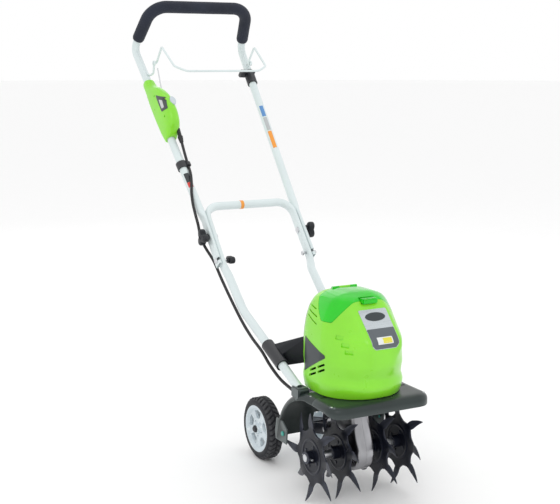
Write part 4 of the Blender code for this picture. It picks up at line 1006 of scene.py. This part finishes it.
def lobed_knob(name, start, side, lobes, radius, waist, depth, hub_radius, hub_depth, bore, body):
    """A moulded knob that turns about x, bored for its bolt."""
    start = Vector(start)
    axis = Vector((side, 0, 0))
    u, v = across(axis)
    count = lobes * 24
    rings = []
    rows = [(hub_depth, 0.86), (hub_depth + 0.0008, 0.95), (hub_depth + 0.0024, 1.0), (depth - 0.0045, 1.0)]
    rows += [(depth - 0.0020, 0.965), (depth - 0.0006, 0.90), (depth, 0.80)]
    for distance, scale in rows:
        ring = []
        for i in range(count):
            a = math.tau * i / count
            r = (waist + (radius - waist) * (0.5 + 0.5 * math.cos(lobes * a)) ** 0.8) * scale
            ring.append(start + axis * distance + r * (math.cos(a) * u + math.sin(a) * v))
        rings.append(ring)
    knob = raw_object(name, skin(rings))
    profile = [(0, hub_radius - 0.0006), (0.0006, hub_radius), (hub_depth + 0.002, hub_radius + 0.0006)]
    boolean(knob, turned(profile, start, axis, 40), "UNION")
    boolean(knob, turned([(depth - 0.0012, 0.0042), (depth + 0.002, 0.0052)], start, axis, 32))
    boolean(knob, rod(start - axis * 0.002, start + axis * bore, BOLT_BORE, 24))
    settle(knob, LOOKS["black_plastic"], body, [body], angle=42)


def make_knobs():
    for name, side in SIDES.items():
        start = FOLD_PIVOT + Vector((0.1306 * side, 0, 0))
        lobed_knob(f"fold_knob_{name}", start, side, 3, 0.0215, 0.0115, 0.0215, 0.0085, 0.0070, 0.0175,
                   f"handle_knob_{name}")
    inside = 0.1128 - TUBE_RADIUS - GAP
    start = bolt_place(0.066, -inside)
    lobed_knob("wing_knob", start, 1, 2, 0.0150, 0.0070, 0.0165, 0.0070, 0.0030, 0.0135,
               "stop_knob_left")


# ---- Fender ----


DECK_TOP = 0.2320
# The fender's rolled edge, outside and inside: (in from the edge, depth)
FENDER_EDGE = (
    (0.0180, 0.0), (0.0120, -0.0006), (0.0075, -0.0020),
    (0.0040, -0.0042), (0.0015, -0.0074), (0.0002, -0.0115),
)
FENDER_INSIDE = (
    (0.0030, -0.0120), (0.0045, -0.0085), (0.0075, -0.0062),
    (0.0120, -0.0042), (0.0180, -0.0030),
)


def arch_rows():
    """(y, z, half width, lip) over the tines' back, from the middle of the deck."""
    rows = [(-0.0300, DECK_TOP, 0.1212, 0.014), (-0.0100, DECK_TOP, 0.1212, 0.014)]
    rows.append((0.0150, DECK_TOP, 0.1222, 0.014))
    for degrees in (72, 62, 52, 42, 32, 22, 12, 3):
        a = math.radians(degrees)
        rows.append((0.133 * math.cos(a), 0.0990 + 0.133 * math.sin(a), 0.125, 0.014))
    return rows


def deck_outline(inset):
    """The deck seen from above, from its left side round the rounded front corners to its right side."""
    half, corner, front = 0.1212, 0.034, -0.1085
    left = [(-half + inset, -0.0250)]
    for k in range(13):
        a = math.radians(180 + 90 * k / 12)
        reach = corner - inset
        left.append((-half + corner + reach * math.cos(a), front + corner + reach * math.sin(a)))
    return left + [(-x, y) for x, y in reversed(left)]


def deck_lip(y):
    return 0.014 + 0.010 * eased((-y - 0.060) / 0.045)


def deck_pan():
    """The deck as a pan with rolled edges, upside down."""
    rings = []
    for inset, depth in FENDER_EDGE:
        rings.append([Vector((x, y, DECK_TOP + depth)) for x, y in deck_outline(inset)])
    for inset in (0.0, 0.0004, 0.0026, 0.0030):
        drop = 0.0008 if inset in (0.0, 0.0030) else 0
        rings.append([Vector((x, y, DECK_TOP - deck_lip(y) + drop)) for x, y in deck_outline(inset)])
    for inset, depth in FENDER_INSIDE:
        rings.append([Vector((x, y, DECK_TOP + depth)) for x, y in deck_outline(inset)])
    return skin(rings)


def through(values, share):
    """A smooth curve through rows of values, at a share counted in rows."""
    i = min(int(share), len(values) - 2)
    t = share - i
    p0, p1 = values[max(i - 1, 0)], values[i]
    p2, p3 = values[i + 1], values[min(i + 2, len(values) - 1)]
    made = []
    for a, b, c, d in zip(p0, p1, p2, p3):
        second, third = 2 * a - 5 * b + 4 * c - d, 3 * b - a - 3 * c + d
        made.append(0.5 * (2 * b + (c - a) * t + second * t * t + third * t ** 3))
    return made


def fender_section(half, lip):
    """The outside, then the inside, of a section from the left lip to the right one: (x, depth)."""
    outer = [(-half + 0.0004, -lip), (-half, -lip + 0.0008)]
    outer += [(-half + inset, depth) for inset, depth in reversed(FENDER_EDGE)]
    outer += [(-half * 0.6, 0), (-half * 0.3, 0)]
    outer += [(0, 0)] + [(-x, depth) for x, depth in reversed(outer)]
    inner = [(half - 0.0026, -lip), (half - 0.0030, -lip + 0.0008)]
    inner += [(half - inset, depth) for inset, depth in FENDER_INSIDE] + [(half * 0.4, -0.003)]
    inner += [(0, -0.003)] + [(-x, depth) for x, depth in reversed(inner)]
    return outer + inner


def make_fender_shell():
    rows = arch_rows()
    fine = [through(rows, k / 5) for k in range(5 * (len(rows) - 1) + 1)]
    rings = []
    for i, (y, z, half, lip) in enumerate(fine):
        before, after = fine[max(i - 1, 0)], fine[min(i + 1, len(fine) - 1)]
        dy, dz = after[0] - before[0], after[1] - before[1]
        long = math.hypot(dy, dz)
        ring = []
        for x, depth in fender_section(half, max(lip, 0.0052)):
            ring.append(Vector((x, y - dz / long * depth, z + dy / long * depth)))
        rings.append(ring)
    fender = raw_object("fender_shell", skin(rings))
    boolean(fender, deck_pan(), "UNION")
    boolean(fender, block((-0.1182, -0.0310, 0.2100), (0.1182, -0.0245, 0.2200)))
    for name, side in SIDES.items():
        x = sorted((0.0970 * side, 0.1235 * side))
        boolean(fender, block((x[0], 0.028, 0.2150), (x[1], 0.062, 0.2390), 0.0025, 3), "UNION")
        cheek = [(0.128, 0.103), (0.131, 0.120), (0.125, 0.150)]
        cheek += [(0.098, 0.150), (0.078, 0.136), (0.080, 0.103)]
        x = sorted((0.1215 * side, 0.1245 * side))
        boolean(fender, prism(cheek, *x), "UNION")
        low, high = mirrored(LOWER_LEG_FOOT, side), mirrored(LOWER_LEG_BEND, side)
        along = (high - low).normalized()
        boolean(fender, rod(low - along * 0.0005, low + along * 0.06, TUBE_RADIUS + 2.5 * GAP, 40))
        bolt = Vector((0.123 * side, 0.0934, 0.1238))
        boolean(fender, pin(bolt, (0.01, 0, 0), BOLT_BORE))
        for y, z in ((-0.0015, 0.2290), (-0.0860, 0.2300)):
            spot = Vector((0.1110 * side, y, 0.2322))
            boolean(fender, rod(spot - Vector((0, 0, 0.0022)), spot + Vector((0, 0, 0.004)), 0.0030, 24))
    boolean(fender, block((-0.0222, -0.020, 0.20), (0.0222, 0.062, 0.25)))
    boolean(fender, block((-0.033, 0.09, 0.05), (0.033, 0.16, 0.150)))
    end, before = Vector(CABLE_ROUTE[-1]), Vector(CABLE_ROUTE[-2])
    boolean(fender, rod(before, end + (end - before), CABLE_RADIUS + 2 * GAP, 24))
    settle(fender, LOOKS["fender_plastic"], "chassis", ["fender"], angle=42)
    for name, side in SIDES.items():
        for k, y in enumerate((-0.0015, -0.0860)):
            place = Vector((0.1110 * side, y, 0.2302))
            make_screw(f"deck_screw_{name}_{k}", place, (0, 0, 1), 0.0026, "chassis")


def make_screw(name, place, out, radius, body):
    """A small cross-head screw, sunk in its hole."""
    profile = [(0, 0), (0, radius), (0.0007, radius), (0.0011, radius * 0.85)]
    profile += [(0.0013, radius * 0.5), (0.00135, 0)]
    screw = raw_object(name, turned(profile, place, out, 28))
    out = Vector(out).normalized()
    u, v = across(out)
    for first in (u, v):
        second = out.cross(first)
        turn = Matrix((first, second, out)).transposed().to_4x4()
        bm = block((-radius * 0.6, -radius * 0.13, 0.0006), (radius * 0.6, radius * 0.13, 0.004))
        bmesh.ops.transform(bm, matrix=Matrix.Translation(place) @ turn, verts=bm.verts[:])
        boolean(screw, bm)
    settle(screw, LOOKS["bare_steel"], body, angle=35)


# ---- Tines ----

# A claw from its root to its point: (radius, leading angle, trailing angle)
CLAW = (
    (0.0600, -7.5, 7.5), (0.0650, -7.6, 8.4), (0.0700, -6.4, 8.2),
    (0.0755, -4.4, 7.8), (0.0810, -1.8, 7.4), (0.0860, 0.4, 7.4),
    (0.0905, 2.4, 7.4), (0.0950, 4.6, 7.5), (0.0990, 6.7, 7.7),
)


def tine_point(x, radius, degrees, bend):
    a = math.radians(degrees)
    lean = bend * (max(radius - 0.05, 0) / 0.0485) ** 1.3
    return HUB + Vector((x + lean, radius * math.cos(a), radius * math.sin(a)))


def tine_plate(x, phase):
    """A star of eight hooked claws, with thinned cutting edges."""
    claws, arc_steps = 8, 6
    bm = bmesh.new()
    sides = {}
    thick = {1: 0.00155, -1: -0.00155}
    for sign in (1, -1):
        turns = [phase - 7.5 + 7.5 * i for i in range(claws * arc_steps)]
        hub = [bm.verts.new(tine_point(x + thick[sign], 0.0105, degrees, 0)) for degrees in turns]
        middle = [bm.verts.new(tine_point(x + thick[sign], 0.0380, degrees, 0)) for degrees in turns]
        rim = []
        for i in range(claws):
            for k in range(arc_steps):
                degrees = phase + 45 * i - 7.5 + (15 * k / 2 if k < 3 else 15 + 30 * (k - 2) / 4)
                radius = 0.0600 if k < 3 else 0.0600 - 0.0062 * math.sin(math.pi * (k - 2) / 4)
                rim.append(bm.verts.new(tine_point(x + thick[sign], radius, degrees, 0)))
        sides[sign] = (hub, middle, rim)
    count = claws * arc_steps
    loops = {}
    for sign in (1, -1):
        hub, middle, rim = sides[sign]
        for i in range(count):
            j = (i + 1) % count
            bm.faces.new((hub[i], hub[j], middle[j], middle[i]))
            bm.faces.new((middle[i], middle[j], rim[j], rim[i]))
        loops[sign] = []
        for i in range(claws):
            heading = phase + 45 * i
            bend = 0.0095 if i % 2 else -0.0095
            roots = [rim[i * arc_steps + k] for k in range(3)]
            rows = [roots]
            for radius, lead, trail in CLAW[1:]:
                slim = 1 - 0.55 * eased((radius - 0.062) / 0.037)
                row = []
                for k, degrees in enumerate((lead, (lead + trail) / 2, trail)):
                    thin = thick[sign] * slim * (0.35 if k != 1 else 1.0)
                    row.append(bm.verts.new(tine_point(x + thin, radius, heading + degrees, bend)))
                rows.append(row)
            for a, b in zip(rows, rows[1:]):
                for k in range(2):
                    bm.faces.new((a[k], a[k + 1], b[k + 1], b[k]))
            loops[sign].append(rows)
    up, down = sides[1], sides[-1]
    for i in range(count):
        j = (i + 1) % count
        bm.faces.new((up[0][i], up[0][j], down[0][j], down[0][i]))
        if i % arc_steps > 1:
            bm.faces.new((up[2][i], up[2][j], down[2][j], down[2][i]))
    for a_rows, b_rows in zip(loops[1], loops[-1]):
        for k in (0, 2):
            for (a0, a1), (b0, b1) in zip(zip(a_rows, a_rows[1:]), zip(b_rows, b_rows[1:])):
                bm.faces.new((a0[k], a1[k], b1[k], b0[k]))
        a, b = a_rows[-1], b_rows[-1]
        for k in range(2):
            bm.faces.new((a[k], a[k + 1], b[k + 1], b[k]))
    bmesh.ops.recalc_face_normals(bm, faces=bm.faces[:])
    return bm


def make_star(name, x, phase, hub_from, hub_to):
    star = raw_object(f"star_{name}", tine_plate(x, phase))
    low, high = sorted((hub_from, hub_to))
    long = high - low
    profile = [(0, 0.0125), (0.001, 0.0135), (long - 0.001, 0.0135)]
    profile += [(long, 0.0125), (long, 0.0083), (0, 0.0083)]
    boolean(star, turned(profile, HUB + Vector((low, 0, 0)), (1, 0, 0), 40, wrap=True), "UNION")
    out = 1 if x > 0 else -1
    for sign in (out, -out):
        base = HUB + Vector((x + sign * 0.0012, 0, 0))
        ring = [(0, 0.0385), (0.0010, 0.0385), (0.0016, 0.0372)]
        ring += [(0.0016, 0.0340), (0.0009, 0.0325), (0, 0.0325)]
        boolean(star, turned(ring, base, (sign, 0, 0), 64, wrap=True), "UNION")
        for k in range(4):
            a = math.radians(phase + 90 * k + 22)
            spot = base + Vector((0, math.cos(a), math.sin(a))) * 0.0235
            rivet = [(0, 0.0040), (0.0012, 0.0040), (0.0020, 0.0028)]
            boolean(star, turned(rivet, spot, (sign, 0, 0), 20), "UNION")
    if abs(x) > 0.1:
        middle = HUB + Vector((math.copysign(0.1165, x), 0, 0))
        boolean(star, pin(middle, (0, 0.0205, 0), 0.0026, 20))
    settle(star, LOOKS["tine_steel"], "tines", [f"tine_{name}"], angle=28)


def make_stars():
    for name, side in SIDES.items():
        make_star(f"inner_{name}", 0.045 * side, -103, 0.0245 * side, 0.0620 * side)
        make_star(f"outer_{name}", 0.107 * side, -91.4, 0.0900 * side, 0.1225 * side)


# ---- Gearbox ----


def gearbox_outline():
    outline = [(-0.008, 0.2440), (-0.013, 0.190)]
    outline += arc((0, HUB.z), 0.044, 165, 340, 40)
    outline += [(0.088, 0.104), (0.091, 0.110), (0.091, 0.136), (0.088, 0.142)]
    outline += [(0.060, 0.152), (0.058, 0.2440)]
    return outline


def make_gearcase(name, side):
    near, far = GAP / 2 * side, 0.0215 * side
    body = prism(gearbox_outline(), near, far)
    edges = [e for e in body.edges if all(abs(v.co.x - far) < 1e-6 for v in e.verts)]
    bmesh.ops.bevel(body, geom=edges, offset=0.0085, segments=6, profile=0.5, affect="EDGES")
    case = raw_object(f"gearcase_{name}", body)
    wide = sorted((near, 0.034 * side))
    boolean(case, block((wide[0], -0.014, 0.2323), (wide[1], 0.066, 0.2380)), "UNION")
    boss = HUB + Vector((0.0100 * side, 0, 0))
    profile = [(0, 0.0210), (0.0110, 0.0200), (0.0128, 0.0185)]
    boolean(case, turned(profile, boss, (side, 0, 0), 48), "UNION")
    boolean(case, pin(HUB, (0.0085 * side, 0, 0), 0.0183, 40))
    boolean(case, rod(Vector((0, 0.026, 0.0640)), Vector((0, 0.026, 0.2500)), 0.0100, 32))
    boolean(case, pin(HUB, (0.03, 0, 0), 0.0115, 40))
    boolean(case, pin(Vector((0, 0.078, 0.123)), (0.03, 0, 0), 0.0043))
    settle(case, LOOKS["cast_aluminium"], "chassis", [f"gearbox_{name}"], angle=35)


# ---- Switch box ----

PULL_ROD = (Vector((-0.1302, 0.7300, 0.8240)), Vector((-0.1302, 0.7620, 0.8930)))
BOX_SECTIONS = (
    # up the leg, front reach, back reach, outer width, inner width
    (-0.004, 0.0165, 0.0135, 0.0140, 0.0140),
    (0.004, 0.0320, 0.0145, 0.0150, 0.0180),
    (0.013, 0.0490, 0.0150, 0.0160, 0.0220),
    (0.030, 0.0585, 0.0155, 0.0170, 0.0250),
    (0.053, 0.0630, 0.0155, 0.0175, 0.0255),
    (0.085, 0.0610, 0.0155, 0.0175, 0.0245),
    (0.110, 0.0520, 0.0150, 0.0170, 0.0225),
    (0.132, 0.0390, 0.0145, 0.0160, 0.0185),
    (0.155, 0.0210, 0.0140, 0.0145, 0.0150),
    (0.180, 0.0150, 0.0135, 0.0140, 0.0140),
)


def box_axes():
    run = leg_run()
    front = Vector((0, -run.z, run.y)).normalized()
    return run, front


def box_point(up, front, x):
    run, out = box_axes()
    return upper_leg_point(0.721) + run * up + out * front + Vector((x, 0, 0))


def box_rings(shrink):
    rings = []
    steps = 4
    last = steps * (len(BOX_SECTIONS) - 1)
    for k in range(last + 1):
        up, front, back, outer, inner = through(BOX_SECTIONS, k / steps)
        if shrink and k in (0, last):
            continue
        trim = 0.0008 if k in (0, last) and not shrink else 0
        ring = []
        for i in range(48):
            a = math.tau * (i + 0.5) / 48
            c = math.copysign(abs(math.cos(a)) ** 0.75, math.cos(a))
            s = math.copysign(abs(math.sin(a)) ** 0.75, math.sin(a))
            reach = (front if c > 0 else back) - shrink - trim
            half = (inner if s > 0 else outer) - shrink - trim
            ring.append(box_point(up, reach * c, half * s))
        rings.append(ring)
    return rings


def along_leg(bm, centre, along):
    along = Vector(along).normalized()
    u = (Vector((1, 0, 0)) - along * along.x).normalized()
    matrix = Matrix((u, along.cross(u), along)).transposed().to_4x4()
    bmesh.ops.transform(bm, matrix=Matrix.Translation(centre) @ matrix, verts=bm.verts[:])
    return bm


def button_shape(grow, rows):
    """The oval button: rows of (depth, scale) out of the front of the box."""
    run, out = box_axes()
    middle = box_point(0.070, 0.0585, 0.0115)
    sideways = out.cross(run).normalized()
    rings = []
    for depth, scale in rows:
        ring = []
        for i in range(40):
            a = math.tau * i / 40
            spot = middle + out * depth + sideways * (0.0080 + grow) * scale * math.cos(a)
            ring.append(spot + run * (0.0125 + grow) * scale * math.sin(a))
        rings.append(ring)
    return skin(rings)


def make_switch_shells():
    low, high = upper_leg_point(0.691), upper_leg_point(0.921)
    gland = Vector(CABLE_ROUTE[1])
    along = (Vector(CABLE_ROUTE[2]) - gland).normalized()
    trees = {}
    for name, side in (("outer", -1), ("inner", 1)):
        shell = raw_object(f"switch_shell_{name}", skin(box_rings(0)))
        boolean(shell, skin(box_rings(0.0025)))
        keep = (0.0001, 0.1) if side > 0 else (-0.1, -0.0001)
        half = block((-keep[1], -0.2, -0.1), (-keep[0], 0.2, 0.4))
        boolean(shell, along_leg(half, upper_leg_point(0.721), leg_run()))
        boolean(shell, rod(low, high, TUBE_RADIUS + 2.5 * GAP, 40))
        if side > 0:
            boolean(shell, pin(gland, along * 0.03, 0.0052))
            foot, head = PULL_ROD
            boolean(shell, rod(foot, head + (head - foot), 0.0026, 16))
            boolean(shell, button_shape(0.0005, ((-0.0165, 1), (0.02, 1))))
        for up, front in ((0.038, 0.040), (0.112, 0.030)):
            spot = box_point(up, front, 0.03 * side)
            deep = 0.0170 if side < 0 else 0.012
            boolean(shell, rod(spot, spot - Vector((deep * side, 0, 0)), 0.0026, 20))
        settle(shell, LOOKS["green_plastic"], "upper_handle", [f"switch_box_{name}"],
               angle=42)
        trees[name] = surface_tree(shell)
    rows = ((-0.0110, 1), (0.0035, 1), (0.0048, 0.95), (0.0054, 0.85), (0.0055, 0.7))
    button = raw_object("lock_off_oval", button_shape(0, rows))
    settle(button, LOOKS["pale_plastic"], "lock_off_button", ["lock_off_button"], angle=45)
    make_box_mark(trees["outer"])


def make_box_mark(tree):
    """A plain dark patch with a pale centre on the box's outer side."""
    dark = look("box_patch", (0.06, 0.065, 0.07), 0.35, vary=0.12, bump=0.03)
    pale = look("box_patch_pale", (0.55, 0.56, 0.57), 0.35, vary=0.05, bump=0.03)
    middle = Vector((-0.156, 0.6760, 0.8060))
    corners = [(-0.0290, 0.0200), (0.0100, 0.0160), (0.0290, -0.0100), (0.0080, -0.0200)]
    outline = rounded_outline(corners, 0.003)
    plate("box_patch", tree, outline, middle, (1, 0, 0), dark, body="upper_handle")
    corners = [(-0.0100, 0.0095), (0.0040, 0.0085), (0.0165, -0.0080), (0.0070, -0.0120)]
    inner = rounded_outline(corners, 0.002)
    plate("box_patch_pale", tree, inner, middle, (1, 0, 0), pale, 0.0008, 0.0002, "upper_handle")


# ---- Small parts ----


def finished_copy(node, material, body, bevel=0.0005, angle=38):
    """The CAD node's own shape with rounded edges."""
    bm = bmesh.new()
    bm.from_mesh(NODES[node].data)
    bm.transform(NODES[node].matrix_world)
    bmesh.ops.remove_doubles(bm, verts=bm.verts[:], dist=1e-6)
    bmesh.ops.dissolve_limit(bm, angle_limit=math.radians(1), verts=bm.verts[:], edges=bm.edges[:])
    made = raw_object(f"{node}_finished", bm)
    settle(made, LOOKS[material], body, [node], angle=angle, shift=False)
    add_bevel(made, bevel, angle).harden_normals = True


def finish_small_parts():
    bodies = frame["record"]["behaviour"]["bodies"]
    homes = {node: body for body, nodes in bodies.items() for node in nodes}
    slots = {entry["node"]: entry["material_slot"] for entry in frame["record"]["subparts"]}
    for node in SMALL_PARTS:
        finished_copy(node, slots[node], homes[node], 0.0012 if node in SOFT_EDGED else 0.0004)


SOFT_EDGED = ("handle_brace", "bail_rest", "cable_clip", "battery_tray")
SMALL_PARTS = (
    "handle_brace", "bail_rest", "cable_clip", "wheel_bracket", "fold_bolt_left", "fold_bolt_right",
    "stop_bolt_left", "stop_bolt_right", "stop_nut_right", "hub_cap_left", "hub_cap_right",
    "fender_bolt_left", "fender_bolt_right", "tine_shaft", "hitch_pin_left", "hitch_pin_right",
    "bracket_pivot_bolt", "shaft_seal_left", "shaft_seal_right", "pull_rod", "wheel_axle",
    "battery_pack", "battery_tray", "motor_can",
)


dress_nodes()
make_camera()
make_floor()
make_lights()
make_cable()
make_grip()
cover = make_body()
make_graphics(cover)
for name, side in SIDES.items():
    make_wheel(name, side)
make_upper_tube()
make_lower_tube()
make_bail_rod()
make_knobs()
make_fender_shell()
make_stars()
for name, side in SIDES.items():
    make_gearcase(name, side)
make_switch_shells()
make_stickers()
finish_small_parts()
